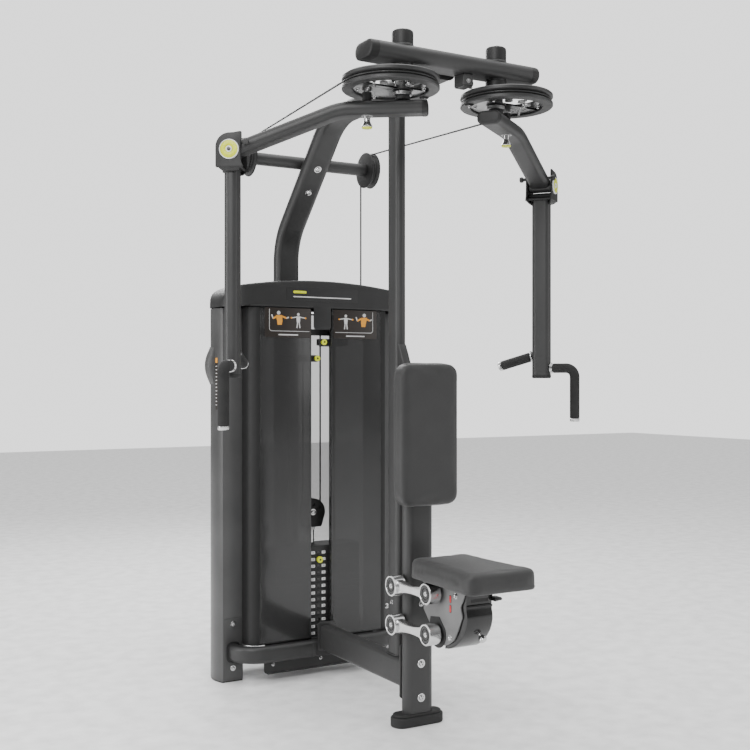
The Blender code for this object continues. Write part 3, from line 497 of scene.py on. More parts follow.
def hollowed(piece, *cutters):
    """The piece with the cutters taken out of it."""
    for cutter in cutters:
        change = piece.modifiers.new("cut", "BOOLEAN")
        change.operation = "DIFFERENCE"
        change.solver = "EXACT"
        change.object = cutter
    mesh = baked(piece)
    piece.modifiers.clear()
    old, piece.data = piece.data, mesh
    surface = old.materials[0]
    for cutter in cutters:
        bpy.data.objects.remove(cutter, do_unlink=True)
    mesh.materials.clear()
    mesh.materials.append(surface)
    mesh.set_sharp_from_angle(angle=math.radians(32))
    return piece


def strip(line, thickness):
    """The outline of an open line given a thickness."""
    points = [Vector(point) for point in line]
    inner, outer = [], []
    for index, point in enumerate(points):
        ways = []
        if index > 0:
            ways.append((point - points[index - 1]).normalized())
        if index < len(points) - 1:
            ways.append((points[index + 1] - point).normalized())
        way = sum(ways, Vector((0, 0))).normalized()
        square = Vector((-way.y, way.x))
        reach = thickness / 2 / max(square.dot(Vector((-ways[0].y, ways[0].x))), 0.4)
        inner.append(tuple(point - square * reach))
        outer.append(tuple(point + square * reach))
    return inner + outer[::-1]


def standing(name, outline, bottom, top, surface, soft=0.0, angle=32):
    """An outline in plan raised from bottom to top."""
    return slab(name, [outline], Z_AXIS, X_AXIS, (0, 0, (bottom + top) / 2), top - bottom, surface,
                soft, angle)


# ------------------------------------------------------------ sizes

PIVOT_X, BEAM_Y, BEAM_Z, BEAM_HALF = 0.167, -0.188, 2.015, 0.300
FLAT_TUBE = (0.100, 0.050)
BEAM_LOW = BEAM_Z - FLAT_TUBE[1] / 2
HOUSING_TOP = 2.088
CAM_OFFSET, CAM_RADIUS, CAM_Z, CAM_HALF = 0.040, 0.142, 1.929, 0.019
ARM_TURN = math.radians(35.5)
ARM_REACH, ARM_BEND, ARM_TAIL = 0.5025, 0.180, 0.075
ARM_WIDTH, ARM_HEIGHT, ARM_Z, ELBOW_Z = 0.072, 0.040, 1.863, 1.746
DROP_ACROSS, DROP_ALONG, DROP_BOTTOM = 0.064, 0.042, 1.080
PLATE_INNER, PLATE_OUTER = 0.041, 0.047
PIN_REACH = 0.104
GRIP = 0.0165
CABLE_RADIUS = 0.003
BAR_Y, BAR_Z, BAR_RADIUS, BAR_HALF = 0.756, 1.878, 0.023, 0.236
GUIDE_X, GUIDE_PITCH = 0.2535, 0.058
ROD_X, ROD_Y = 0.090, 0.735
UPRIGHT_IN, UPRIGHT_OUT, UPRIGHT_FRONT, UPRIGHT_BACK, UPRIGHT_TOP = 0.277, 0.370, 0.726, 0.840, 1.330
UPRIGHT_ROUND, UPRIGHT_MID, TUBE_X = 0.123, 0.783, 0.3155
SHROUD_IN, SHROUD_EDGE, SHROUD_OUT, SHROUD_Y = 0.040, 0.2475, 0.280, 0.650
SHROUD_LOW, SHROUD_HIGH = 0.136, 1.332
HEADER_FRONT, HEADER_BACK, HEADER_LOW, HEADER_MID, HEADER_SIDE = 0.645, 0.850, 1.333, 1.435, 1.410
MAST_Y = 0.122
NECK_Y, NECK_Z, NECK_SUM, NECK_BEND = 0.955, 2.010, 2.565, 0.200
BASE_Z, BASE_HEIGHT, BASE_THICK = 0.1055, 0.060, 0.040
BUMPER_Y = 0.6375
PITCH, ROW_1, ROWS, PIN_ROW = 0.0245, 0.442, 13, 2
PLATE_HALF, PLATE_FRONT, PLATE_BACK = 0.175, 0.680, 0.790
FLOAT_Z, FLOAT_PITCH = 0.586, 0.036
LINKS = {"upper_link": 0.438, "lower_link": 0.318}
LINK_FRONT_Y, LINK_RISE, LINK_RING, LINK_IN, LINK_OUT = -0.197, 0.008, 0.032, 0.058, 0.097


def arm_spot(side, reach, offset, z):
    """A point at a reach along one arm and an offset across it, towards the front."""
    along = Vector((side * math.cos(ARM_TURN), math.sin(ARM_TURN), 0))
    across = Vector((side * math.sin(ARM_TURN), -math.cos(ARM_TURN), 0))
    return Vector((side * PIVOT_X, BEAM_Y, z)) + along * reach + across * offset


def arm_axes(side):
    origin = arm_spot(side, 0, 0, 0)
    return arm_spot(side, 1, 0, 0) - origin, arm_spot(side, 0, 1, 0) - origin


# ------------------------------------------------------------ front post, masts and beam

def make_foot():
    low_part = standing("foot_sole", rounded_rect(0.180, 0.070, 0.0345, 12), 0.0, 0.030, RUBBER,
                        0.004)
    rim = standing("foot_rim", rounded_rect(0.166, 0.060, 0.0295, 12), 0.0295, 0.038, RUBBER,
                   0.0025)
    place(join("foot", [low_part, rim]), "frame", "rubber", "foot_pad")


def make_post():
    section = rounded_rect(*FLAT_TUBE, 0.0235, 10)
    post = sweep("front_post_tube", [(0, 0, 0.0382), (0, 0, 1.019)], section, X_AXIS, STEEL)
    collars = []
    for level in LINKS.values():
        for way in (-1, 1):
            collars.append(lathe("collar", [(0, 0), (0.0235, 0), (0.0235, 0.0045), (0.021, 0.0062),
                                            (0, 0.0062)], (way * 0.0499, 0, level),
                                 (way, 0, 0), CAP))
    heads = [bolt((x, -0.0252, z), (0, -1, 0)) for x, z in ((0.0, 0.192), (0.0, 0.086))]
    heads.append(bolt((0.0, -0.0252, 0.378), (0, -1, 0), 0.0065, 0.0085))
    place(join("front_post_finished", [post] + collars + heads), "frame", "frame_steel",
          "front_post")
    tube = sweep("spine", [(0, 0.0335, 0.145), (0, 0.6172, 0.145)],
                 rounded_rect(0.050, 0.090, 0.013, 6), X_AXIS, STEEL)
    flange = slab("spine_flange", [rounded_rect(0.090, 0.170, 0.010, 6)], (0, -1, 0), X_AXIS,
                  (0, 0.0293, 0.160), 0.008, STEEL, 0.0015)
    seam = bead("spine_weld", [(x, 0.0345, 0.145 + z) for x, z in
                               rounded_rect(0.052, 0.092, 0.013, 14)])
    rear = slab("spine_rear_plate", [rounded_rect(0.070, 0.104, 0.010, 6)], (0, -1, 0), X_AXIS,
                (0, 0.6140, 0.150), 0.005, STEEL, 0.001)
    place(join("spine_finished", [tube, flange, seam, rear]), "frame", "frame_steel", "spine_tube")


def make_mast():
    tube = sweep("mast", [(0, MAST_Y, 0.1903), (0, MAST_Y, NECK_Z - 0.0253)],
                 rounded_rect(0.036, 0.070, 0.0175, 8), X_AXIS, STEEL)
    front = MAST_Y - 0.035
    outline = [(-0.0215, 1.021), (-0.0215, 1.045), (0.030, 1.098), (0.050, 1.120), (0.062, 1.138),
               (0.073, 1.162), (front - 0.001, 1.187), (front + 0.008, 1.194), (front + 0.008, 1.095),
               (0.060, 1.060), (0.0215, 1.021)]
    brace = slab("brace", [outline], X_AXIS, Y_AXIS, (0, 0, 0), 0.030, STEEL, 0.005)
    seam = bead("mast_weld", [(x, MAST_Y + y, 0.1925) for x, y in
                              rounded_rect(0.038, 0.072, 0.018, 10)])
    screw = bolt((-0.018, MAST_Y - 0.002, 0.36), (-1, 0, 0), 0.0055, 0.007)
    place(join("mast_finished", [tube, brace, seam, screw]), "frame", "frame_steel", "rear_mast")


def make_neck():
    tangent = NECK_BEND * math.tan(math.radians(22.5))
    low = arc((NECK_Y - NECK_BEND, NECK_SUM - NECK_Y - tangent), NECK_BEND, 0, 45, 18)
    high = arc((NECK_SUM - NECK_Z - tangent, NECK_Z - NECK_BEND), NECK_BEND, 45, 90, 18)
    path = [(NECK_Y, 0.0002)] + low + high + [(BEAM_Y + FLAT_TUBE[0] / 2 + 0.0005, NECK_Z)]
    tube = sweep("neck", [(0, y, z) for y, z in path], rounded_rect(*FLAT_TUBE, 0.0235, 10), X_AXIS,
                 STEEL)
    seam = bead("neck_weld", [(x, BEAM_Y + FLAT_TUBE[0] / 2 + 0.002, NECK_Z + z) for x, z in
                              rounded_rect(0.101, 0.050, 0.024, 16)], 0.0018)
    heads = []
    for y in (0.683, 0.757):
        lift = FLAT_TUBE[1] / 2 * math.sqrt(2)
        heads.append(bolt((0, y, NECK_SUM - lift - y), (0, -1, -1), 0.0095, 0.0140))
    place(join("gooseneck_finished", [tube, seam] + heads), "frame", "frame_steel", "gooseneck")


def make_beam():
    section = rounded_rect(*FLAT_TUBE, 0.0235, 10)
    tube = sweep("beam", [(-BEAM_HALF + 0.029, BEAM_Y, BEAM_Z), (BEAM_HALF - 0.029, BEAM_Y, BEAM_Z)],
                 section, (0, 1, 0), STEEL)
    parts = [tube]
    for side in (-1, 1):
        loops = []
        for x, grow in ((0.270, -0.001), (0.270, 0.0), (0.292, 0.0), (0.2965, -0.0012),
                        (0.299, -0.004), (0.300, -0.009)):
            ring = rounded_rect(FLAT_TUBE[0] + 2 * grow, FLAT_TUBE[1] + 2 * grow,
                                0.0245 + grow, 10)
            loops.append([(side * x, BEAM_Y + a, BEAM_Z + b) for a, b in ring])
        parts.append(rings("beam_cap", loops, CAP))
        x = side * PIVOT_X
        parts.append(lathe("housing", [(0, -0.0025), (0.0315, -0.0025), (0.0315, 0.0),
                                       (0.0325, 0.0006), (0.0325, 0.0555), (0.031, 0.058),
                                       (0, 0.058)], (x, BEAM_Y, BEAM_LOW), Z_AXIS, STEEL))
        parts.append(bead("housing_weld", [(x + a, BEAM_Y + b, BEAM_LOW + FLAT_TUBE[1] + 0.0006)
                                           for a, b in circle((0, 0), 0.0335, 60)], 0.0018))
        cap_low = BEAM_LOW + 0.0585
        parts.append(lathe("housing_cap", [(0, 0), (0.0315, 0), (0.0318, 0.030), (0.0305, 0.0365),
                                           (0.027, HOUSING_TOP - cap_low), (0.019, HOUSING_TOP
                                            - cap_low + 0.0004), (0.0185, 0.0375), (0, 0.0375)],
                           (x, BEAM_Y, cap_low), Z_AXIS, CAP))
        parts.append(lathe("washer", [(0, 0), (0.0175, 0), (0.0175, 0.0018), (0.0170, 0.0022),
                                      (0, 0.0022)], (x, BEAM_Y, HOUSING_TOP - 0.0022), Z_AXIS, CHROME))
        parts.append(lathe("hex_head", [(0, 0), (0.0122, 0), (0.0122, 0.0052), (0.0108, 0.0066),
                                        (0, 0.0068)], (x, BEAM_Y, HOUSING_TOP), Z_AXIS, CHROME, 6))
        parts.append(lathe("bearing", [(0, 0), (0.029, 0), (0.029, -0.003), (0.024, -0.0042),
                                       (0, -0.0042)], (x, BEAM_Y, BEAM_LOW - 0.0022), Z_AXIS, ZINC))
    place(join("beam_finished", parts), "frame", "frame_steel", "crossbeam")
    stop = block("stop_block", (0.032, BEAM_Y - 0.021, 1.9535), (0.070, BEAM_Y + 0.030, 1.9915),
                 STEEL, 0.0035)
    bumper = lathe("stop_bumper", [(0, 0), (0.0085, 0), (0.0095, 0.0020), (0.0095, 0.0085),
                                   (0.0080, 0.0110), (0, 0.0115)],
                   (0.070, BEAM_Y + 0.004, 1.9690), X_AXIS, RUBBER, 24)
    nut = bolt((0.051, BEAM_Y - 0.021, 1.9690), (0, -1, 0), 0.0052, 0.0070, ZINC)
    drop = rod("stop_pin", (0.080, BEAM_Y + 0.010, 1.9560), (0.080, BEAM_Y + 0.010, 1.9915), 0.0055,
               ZINC)
    stop = join("stop", [stop, drop])
    place(join("beam_stop", [stop, bumper, nut]), "frame", "black_plastic")


def make_guide_bar():
    parts = [lathe("bar", [(0, 0), (BAR_RADIUS - 0.0015, 0), (BAR_RADIUS, 0.0015),
                           (BAR_RADIUS, 2 * BAR_HALF - 0.0015),
                           (BAR_RADIUS - 0.0015, 2 * BAR_HALF), (0, 2 * BAR_HALF)],
                   (-BAR_HALF, BAR_Y, BAR_Z), X_AXIS, STEEL)]
    incline = Vector((0, 1, 1)).normalized()
    along = Vector((0, -1, 1)).normalized()
    seat = Vector((0, BAR_Y, BAR_Z)) - incline * (BAR_RADIUS + 0.0010)
    for way in (-1, 1):
        foot = seat + X_AXIS * way * 0.028
        parts.append(slab("saddle", [rounded_rect(0.020, 0.090, 0.006, 5)], incline, X_AXIS,
                          foot, 0.006, STEEL, 0.0015))
        for end in (-1, 1):
            spot = foot + along * end * 0.034 + incline * 0.003
            parts.append(bolt(spot, incline, 0.0062, 0.0088))
    for side in (-1, 1):
        start = side * (BAR_HALF - 0.0006)
        parts.append(lathe("axle", [(0.0, 0), (0.0165, 0), (0.0165, 0.0022), (0.0115, 0.0024),
                                    (0.0115, 0.0354), (0.0, 0.0354)], (start, BAR_Y, BAR_Z),
                           (side, 0, 0), CHROME))
        parts.append(bolt((side * 0.2702, BAR_Y, BAR_Z), (side, 0, 0), 0.0085, 0.0135))
    place(join("guide_bar_finished", parts), "frame", "frame_steel", "guide_bar")


make_foot()
make_post()
make_mast()
make_neck()
make_beam()
make_guide_bar()


# ------------------------------------------------------------ cams, arms and grips

def make_cam(side, word):
    center = Vector((side * (PIVOT_X + CAM_OFFSET), BEAM_Y, CAM_Z))
    pivot = Vector((side * PIVOT_X, BEAM_Y, CAM_Z))
    rim, inner, groove = CAM_RADIUS, 0.110, CAM_RADIUS - 0.011
    half = CAM_HALF
    profile = [(inner, half - 0.001), (inner + 0.001, half), (rim - 0.003, half), (rim, half - 0.003),
               (rim, 0.0090), (rim - 0.0012, 0.0078)]
    profile += [(groove + 0.0042 - 0.0042 * math.cos(math.radians(a)),
                 0.0042 * math.sin(math.radians(a)) + 0.0003) for a in range(75, -76, -15)]
    profile += [(rim - 0.0012, -0.0078), (rim, -0.0090), (rim, -half + 0.003), (rim - 0.003, -half),
                (inner + 0.001, -half), (inner, -half + 0.001), (inner, half - 0.001)]
    ring = lathe("cam_ring", profile, center, Z_AXIS, STEEL, 96)
    ledge = lathe("cam_ledge", [(0.100, 0.0075), (inner + 0.001, 0.0075), (inner + 0.001, -0.0075),
                                (0.1005, -0.0075), (0.100, -0.007), (0.100, 0.0075)],
                  center, Z_AXIS, PLASTIC, 96)
    shift = side * -CAM_OFFSET
    holes = [circle((shift, 0), 0.0215, 40)]
    for index in range(-4, 5):
        turn = ARM_TURN + math.radians(10.0 * index)
        spot = (shift + side * PIN_REACH * math.cos(turn), PIN_REACH * math.sin(turn))
        holes.append(circle(spot, 0.0076, 20))
    for index in range(5):
        turn = math.radians(200 + 40 * index) if side > 0 else math.radians(-20 - 40 * index)
        spot = (0.062 * math.cos(turn), 0.062 * math.sin(turn))
        if (Vector(spot) - Vector((shift, 0))).length > 0.050:
            holes.append(circle(spot, 0.012, 20))
    plate = slab("index_plate", [circle((0, 0), 0.1092, 80)] + holes, Z_AXIS, X_AXIS,
                 center - Z_AXIS * 0.011, 0.005, ZINC, 0.0005)
    bumps = [bolt(center + Vector((0.096 * math.cos(a), 0.096 * math.sin(a), -0.0135)), (0, 0, -1),
                  0.0042, 0.0062) for a in [math.radians(30 + 60 * k) for k in range(6)]]
    hub = lathe("cam_hub", [(0, 0), (0.0205, 0), (0.0215, 0.0010), (0.0215, 0.0270), (0.0290, 0.0275),
                            (0.0300, 0.0285), (0.0300, 0.0310), (0.0215, 0.0315), (0.0215, 0.0560),
                            (0.0320, 0.0580), (0.0325, 0.0600), (0.0325, 0.0975), (0.030, 0.100),
                            (0, 0.100)], (pivot.x, pivot.y, 1.8865), Z_AXIS, CAP)
    collar = lathe("hub_collar", [(0.0214, 0), (0.0262, 0), (0.0268, 0.0008), (0.0268, 0.0090),
                                  (0.0262, 0.0098), (0.0214, 0.0098), (0.0214, 0)],
                   (pivot.x, pivot.y, 1.9000), Z_AXIS, ZINC)
    cable = rings("cam_cable", [[center + Vector(((groove + 0.0036 + CABLE_RADIUS * math.cos(b))
                                                  * math.cos(a), (groove + 0.0036 + CABLE_RADIUS
                                                                  * math.cos(b)) * math.sin(a),
                                                  CABLE_RADIUS * math.sin(b)))
                                 for b in [math.radians(30 * k) for k in range(12)]]
                                for a in [math.radians(3 * k) for k in range(120)]], CABLE,
                  cap=False, closed=True, angle=180)
    edge = center + Vector((-side * (CAM_RADIUS - 0.016), 0.018, -half))
    latch = block("cam_clamp", edge - Vector((0.012, 0.009, 0.004)), edge + Vector((0.012, 0.009, 0.004)),
                  CAP, 0.002)
    screw = bolt(edge - Vector((0, 0, 0.004)), (0, 0, -1), 0.0045, 0.006)
    place(join("cam_finished_" + word, [ring, ledge, plate, hub, collar, cable, latch, screw] + bumps),
          "cam_" + word, "frame_steel", "cam_" + word)


def arm_line(side):
    """The arm's centre line: level over the cam, then sloping down to the elbow."""
    slope = math.atan2(ARM_Z - ELBOW_Z, ARM_REACH - ARM_BEND)
    bend = 0.20
    start = ARM_BEND - bend * math.tan(slope / 2)
    points = [(-ARM_TAIL + 0.014, ARM_Z)]
    points += [(start + bend * math.sin(slope * i / 8), ARM_Z - bend * (1 - math.cos(slope * i / 8)))
               for i in range(9)]
    tip = ARM_REACH - 0.020
    points.append((tip, ARM_Z - (tip - ARM_BEND) * math.tan(slope)))
    return [arm_spot(side, reach, 0, z) for reach, z in points]


def make_arm(side, word):
    along, across = arm_axes(side)
    section = rounded_rect(ARM_WIDTH, ARM_HEIGHT, 0.0185, 10)
    parts = [sweep("arm", arm_line(side), section, across, STEEL)]
    loops = []
    for reach, grow in ((-0.058, -0.001), (-0.058, 0.0006), (-0.068, 0.0006), (-0.0725, -0.0012),
                        (-0.0745, -0.005), (-0.075, -0.009)):
        ring = rounded_rect(ARM_WIDTH + 2 * grow, ARM_HEIGHT + 2 * grow, 0.0185 + grow, 10)
        loops.append([arm_spot(side, reach, a, ARM_Z + b) for a, b in ring])
    parts.append(rings("arm_tail", loops, CAP))
    barrel = [(0, 0), (0.0205, 0), (0.022, 0.0015), (0.022, 0.0775), (0.0205, 0.079), (0, 0.079)]
    parts.append(lathe("barrel", barrel, arm_spot(side, ARM_REACH, -0.0395, ELBOW_Z), across, STEEL))
    slope = math.atan2(ARM_Z - ELBOW_Z, ARM_REACH - ARM_BEND)
    way = (along * math.cos(slope) - Z_AXIS * math.sin(slope))
    rise = across.cross(way).normalized()
    if rise.z < 0:
        rise = -rise
    lock = arm_spot(side, ARM_REACH - 0.051, 0, ELBOW_Z + 0.0186)
    parts.append(rod("lock_rod", lock - across * 0.052, lock + across * 0.052, 0.0055, PLASTIC))
    for way_out in (-1, 1):
        parts.append(lathe("lock_knob", [(0, 0), (0.0050, 0), (0.0050, 0.006), (0.0090, 0.0085),
                                         (0.0098, 0.012), (0.0098, 0.016), (0.0085, 0.0185),
                                         (0, 0.0192)], lock + across * way_out * 0.043,
                           across * way_out, PLASTIC, 32))
    sleeve_low = ARM_Z + ARM_HEIGHT / 2 - 0.0015
    parts.append(lathe("pin_sleeve", [(0, 0), (0.017, 0), (0.0165, 0.004), (0.0138, 0.006),
                                      (0.0138, 0.0290), (0.0125, 0.0305), (0, 0.0305)],
                       arm_spot(side, PIN_REACH, 0, sleeve_low), Z_AXIS, CAP, 32))
    under = ARM_Z - ARM_HEIGHT / 2
    parts.append(lathe("pin_seat", [(0.0085, 0.0), (0.0175, 0.0), (0.0175, 0.0045), (0.0085, 0.0052),
                                    (0.0085, 0.0)], arm_spot(side, PIN_REACH, 0, under - 0.0003),
                       Z_AXIS, ZINC, 32))
    place(join("arm_finished_" + word, parts), "arm_" + word, "frame_steel", "arm_" + word)

    knob = lathe("pin_knob", [(0, 0), (0.0105, 0), (0.0102, -0.004), (0.0092, -0.012),
                              (0.0100, -0.017), (0.0128, -0.023), (0.0152, -0.0275),
                              (0.0160, -0.0305), (0.0154, -0.0322), (0, -0.0322)],
                 arm_spot(side, PIN_REACH, 0, under - 0.0004), Z_AXIS, CHROME, 40)
    button = lathe("pin_button", [(0, 0), (0.0150, 0), (0.0150, -0.0022), (0.0138, -0.0036),
                                  (0, -0.0042)], arm_spot(side, PIN_REACH, 0, under - 0.0324),
                   Z_AXIS, LIME, 40)
    stem = rod("pin_stem", arm_spot(side, PIN_REACH, 0, under + 0.001),
               arm_spot(side, PIN_REACH, 0, 1.9235), 0.0068, CHROME, 0.0012)
    place(join("pop_pin_finished_" + word, [knob, button, stem]), "pop_pin_" + word, "chrome",
          "pop_pin_" + word)


def elbow_shape():
    """Side view of an elbow plate, x outwards along the arm and z from its pivot."""
    shape = arc((0.0, 0.008), 0.041, 0, 90, 16)
    shape += [(-0.012, 0.0495), (-0.0295, 0.0523), (-0.0345, 0.0522), (-0.0365, 0.0500),
              (-0.0367, 0.0330), (-0.0355, 0.0250), (-0.0335, 0.0180), (-0.0330, 0.0020),
              (-0.0345, -0.0300), (-0.0365, -0.0385), (-0.0395, -0.0450), (-0.0400, -0.0505),
              (-0.0385, -0.0525), (0.0370, -0.0525), (0.0400, -0.0510), (0.0410, -0.0475)]
    return shape


def make_drop_arm(side, word):
    along, across = arm_axes(side)
    parts = []
    tube_top = ELBOW_Z - 0.045
    base = arm_spot(side, ARM_REACH, 0, 0)
    loops = []
    section = rounded_rect(DROP_ACROSS, DROP_ALONG, 0.0185, 10)
    for z in (DROP_BOTTOM + 0.010, tube_top):
        loops.append([base + across * a + along * b + Z_AXIS * z for a, b in section])
    parts.append(rings("drop_tube", loops, STEEL))
    loops = []
    for z, grow in ((0.0115, -0.001), (0.0115, 0.0007), (0.004, 0.0007), (0.0012, -0.001), (0, -0.004)):
        ring = rounded_rect(DROP_ACROSS + 2 * grow, DROP_ALONG + 2 * grow, 0.0185 + grow, 10)
        loops.append([base + across * a + along * b + Z_AXIS * (DROP_BOTTOM + z) for a, b in ring])
    parts.append(rings("drop_cap", loops, CAP))
    center = arm_spot(side, ARM_REACH, 0, ELBOW_Z)
    mid = (PLATE_INNER + PLATE_OUTER) / 2
    for way in (-1, 1):
        inward = -1 if across.cross(Z_AXIS).dot(along) > 0 else 1
        outline = [(x * inward, z) for x, z in elbow_shape()]
        parts.append(slab("elbow_plate", [outline], across, Z_AXIS.cross(across), center
                          + across * way * mid, PLATE_OUTER - PLATE_INNER, PLASTIC, 0.0014))
        loops = []
        for z, wide, out in ((-0.046, 0.034, PLATE_OUTER - 0.001), (-0.0535, 0.032, 0.0445),
                             (-0.0600, 0.024, 0.0395), (-0.0640, 0.012, 0.0350)):
            ring = rounded_rect(2 * wide, 0.006, 0.0026, 4)
            loops.append([center + along * a + across * way * (out - 0.003 + b) + Z_AXIS * z
                          for a, b in ring])
        parts.append(rings("elbow_skirt", loops, PLASTIC))
    bridge = sweep("elbow_bridge", [center - across * 0.046 - Z_AXIS * 0.047,
                                    center + across * 0.046 - Z_AXIS * 0.047],
                   rounded_rect(0.062, 0.007, 0.002, 3), along, PLASTIC)
    parts.append(bridge)
    face = center + across * PLATE_OUTER
    parts.append(lathe("cap_ring", [(0.0262, 0), (0.0290, 0), (0.0290, 0.0026), (0.0283, 0.0042),
                                    (0.0270, 0.0046), (0.0262, 0.0040), (0.0262, 0)], face, across,
                       WHITE, 56))
    parts.append(lathe("cap_disc", [(0.0095, 0.0030), (0.0110, 0.0038), (0.0170, 0.0040),
                                    (0.0250, 0.0034), (0.0262, 0.0030), (0.0262, 0), (0.0095, 0),
                                    (0.0095, 0.0030)], face, across, LIME, 56))
    parts.append(lathe("cap_inner", [(0.0058, 0), (0.0094, 0), (0.0094, 0.0042), (0.0085, 0.0050),
                                     (0.0066, 0.0050), (0.0058, 0.0042), (0.0058, 0)], face,
                       across, WHITE, 40))
    parts.append(lathe("cap_center", [(0, 0), (0.0057, 0), (0.0057, 0.0030), (0, 0.0034)], face,
                       across, GLOSS, 32))
    back = center - across * PLATE_OUTER
    parts.append(bolt(back, -across, 0.0105, 0.017))
    # painted highlight: a thin chrome rod along the stop roller's lower edge stands in for its glint
    stop_low, glint_low = Z_AXIS * 0.0335, Z_AXIS * 0.0445
    parts.append(rod("stop_roller", center - across * 0.041 - stop_low,
                     center + across * 0.041 - stop_low, 0.0100, CAP))
    parts.append(rod("stop_glint_rod", center - across * 0.040 - glint_low,
                     center + across * 0.040 - glint_low, 0.0018, CHROME))
    place(join("drop_arm_finished_" + word, parts), "drop_arm_" + word, "frame_steel",
          "drop_arm_" + word)


def grip(name, side, line, body, node):
    """A foam sleeve on a bar, with a bright collar at the tube and a bright end cap."""
    points = [arm_spot(side, ARM_REACH, offset, z) for offset, z in line]
    along, _ = arm_axes(side)
    ways = [(points[1] - points[0]).normalized(), (points[-1] - points[-2]).normalized()]
    cap_long, collar_long = 0.012, 0.009
    start = points[0] + ways[0] * collar_long
    stop = points[-1] - ways[1] * cap_long
    sleeve = [start] + points[1:-1] + [stop]
    loops = []
    count = len(sleeve)
    for index, point in enumerate(sleeve):
        ahead = (sleeve[min(index + 1, count - 1)] - point)
        behind = (point - sleeve[max(index - 1, 0)])
        way = (ahead.normalized() + behind.normalized()).normalized()
        up = along.cross(way).normalized()
        sizes = [GRIP]
        shifts = [0.0]
        if index == 0:
            sizes, shifts = [GRIP - 0.004, GRIP - 0.001, GRIP], [0.0, 0.0006, 0.0030]
        if index == count - 1:
            sizes, shifts = [GRIP, GRIP - 0.001, GRIP - 0.004], [-0.0030, -0.0006, 0.0]
        for size, shift in zip(sizes, shifts):
            loops.append([point + way * shift + along * x + up * y
                          for x, y in circle((0, 0), size, 32)])
    foam_part = rings(name + "_foam", loops, FOAM, angle=50)
    collar = lathe("collar", [(0, 0), (0.0195, 0), (0.0198, 0.0018), (0.0185, 0.0045),
                              (0.0150, 0.0072), (0.0135, collar_long + 0.001), (0, collar_long + 0.001)],
                   points[0] + ways[0] * 0.0001, ways[0], CHROME, 40)
    end = lathe("end_cap", [(0, 0), (GRIP - 0.0012, 0), (GRIP, 0.0012), (GRIP, cap_long - 0.003),
                            (GRIP - 0.001, cap_long - 0.0012), (GRIP - 0.003, cap_long),
                            (0, cap_long)], stop, ways[1], CHROME, 40)
    made = place(foam_part, body, "grip_foam", node)
    place(join(name + "_fittings", [collar, end]), body, "chrome")


def make_grips(side, word):
    start = DROP_ACROSS / 2 + 0.0003
    bend, level, bottom, reach = 0.030, 1.115, 0.931, 0.117
    line = [(start, level), (start + 0.012, level), (reach - bend - 0.020, level)]
    line += arc((reach - bend, level - bend), bend, 90, 0, 12)
    line += [(reach, level - 0.06 - k * 0.03) for k in range(4)] + [(reach, bottom)]
    grip("l_grip_soft_" + word, side, line, "drop_arm_" + word, "l_grip_" + word)
    near, far = Vector((-start, 1.1564)), Vector((-0.1535, 1.121))
    line = [tuple(near.lerp(far, share)) for share in (0, 0.15, 0.4, 0.7, 1)]
    grip("short_grip_soft_" + word, side, line, "drop_arm_" + word, "short_grip_" + word)


for side, word in SIDES:
    make_cam(side, word)
    make_arm(side, word)
    make_drop_arm(side, word)
    make_grips(side, word)


# ------------------------------------------------------------ tower

def upright_outline(side, inset=0.0):
    """The D shaped upright in plan: a shallow round outer face between two creases."""
    half, radius = UPRIGHT_BACK - UPRIGHT_MID - inset, UPRIGHT_ROUND - inset
    spread = math.degrees(math.asin(half / radius))
    tight = 0.004 - inset
    inner = UPRIGHT_IN + inset + tight
    outline = arc((UPRIGHT_OUT - UPRIGHT_ROUND, UPRIGHT_MID), radius, -spread, spread, 28)
    outline += arc((inner, UPRIGHT_MID + half - tight), tight, 90, 180, 5)
    outline += arc((inner, UPRIGHT_MID - half + tight), tight, 180, 270, 5)
    return [(side * x, y) for x, y in outline]


def make_upright(side, word):
    shell = standing("upright", upright_outline(side), 0.004, UPRIGHT_TOP, STEEL_PAINTED_LIT, 0.0012)
    sole = standing("upright_sole", upright_outline(side, 0.0012), 0.0, 0.0050, CAP, 0.0006)
    parts = [shell, sole]
    tube_x = side * TUBE_X
    for face, way, y in (("front", -1, UPRIGHT_FRONT), ("rear", 1, UPRIGHT_BACK)):
        middle_x = side * 0.317
        outline = rounded_rect(0.072, 0.2185, 0.004, 4, (middle_x, 0.11725))
        port = rounded_rect(0.052, 0.074, 0.018, 6, (tube_x, BASE_Z))
        flat = [[(-way * x, z) for x, z in loop] for loop in (outline, port)]
        parts.append(slab("upright_plate_" + face, flat, (0, way, 0), (-way, 0, 0),
                          (0, y + way * 0.0006, 0), 0.0022, STEEL_PAINTED_LIT, 0.0004))
        parts.append(slab("upright_port_" + face, [rounded_rect(0.0525, 0.0745, 0.018, 6)],
                          (0, way, 0), X_AXIS, (tube_x, y - way * 0.0004, BASE_Z), 0.0014, CAP,
                          0.0002))
        for z in (0.206, 0.049):
            parts.append(bolt((middle_x, y + way * 0.0017, z),
                              (0, way, 0), 0.0066, 0.0098))
    place(join("upright_finished_" + word, parts), "frame", "frame_steel", "upright_" + word)


def base_line(start_y, far_y, bend):
    """Plan of a U shaped base tube from one upright across to the other."""
    x = TUBE_X
    way = 1 if far_y > start_y else -1
    half = [(x, start_y)] + arc((x - bend, far_y - way * bend), bend, 0, way * 90, 18)
    return [(px, py, BASE_Z) for px, py in half + [(-qx, qy) for qx, qy in half[::-1]]]


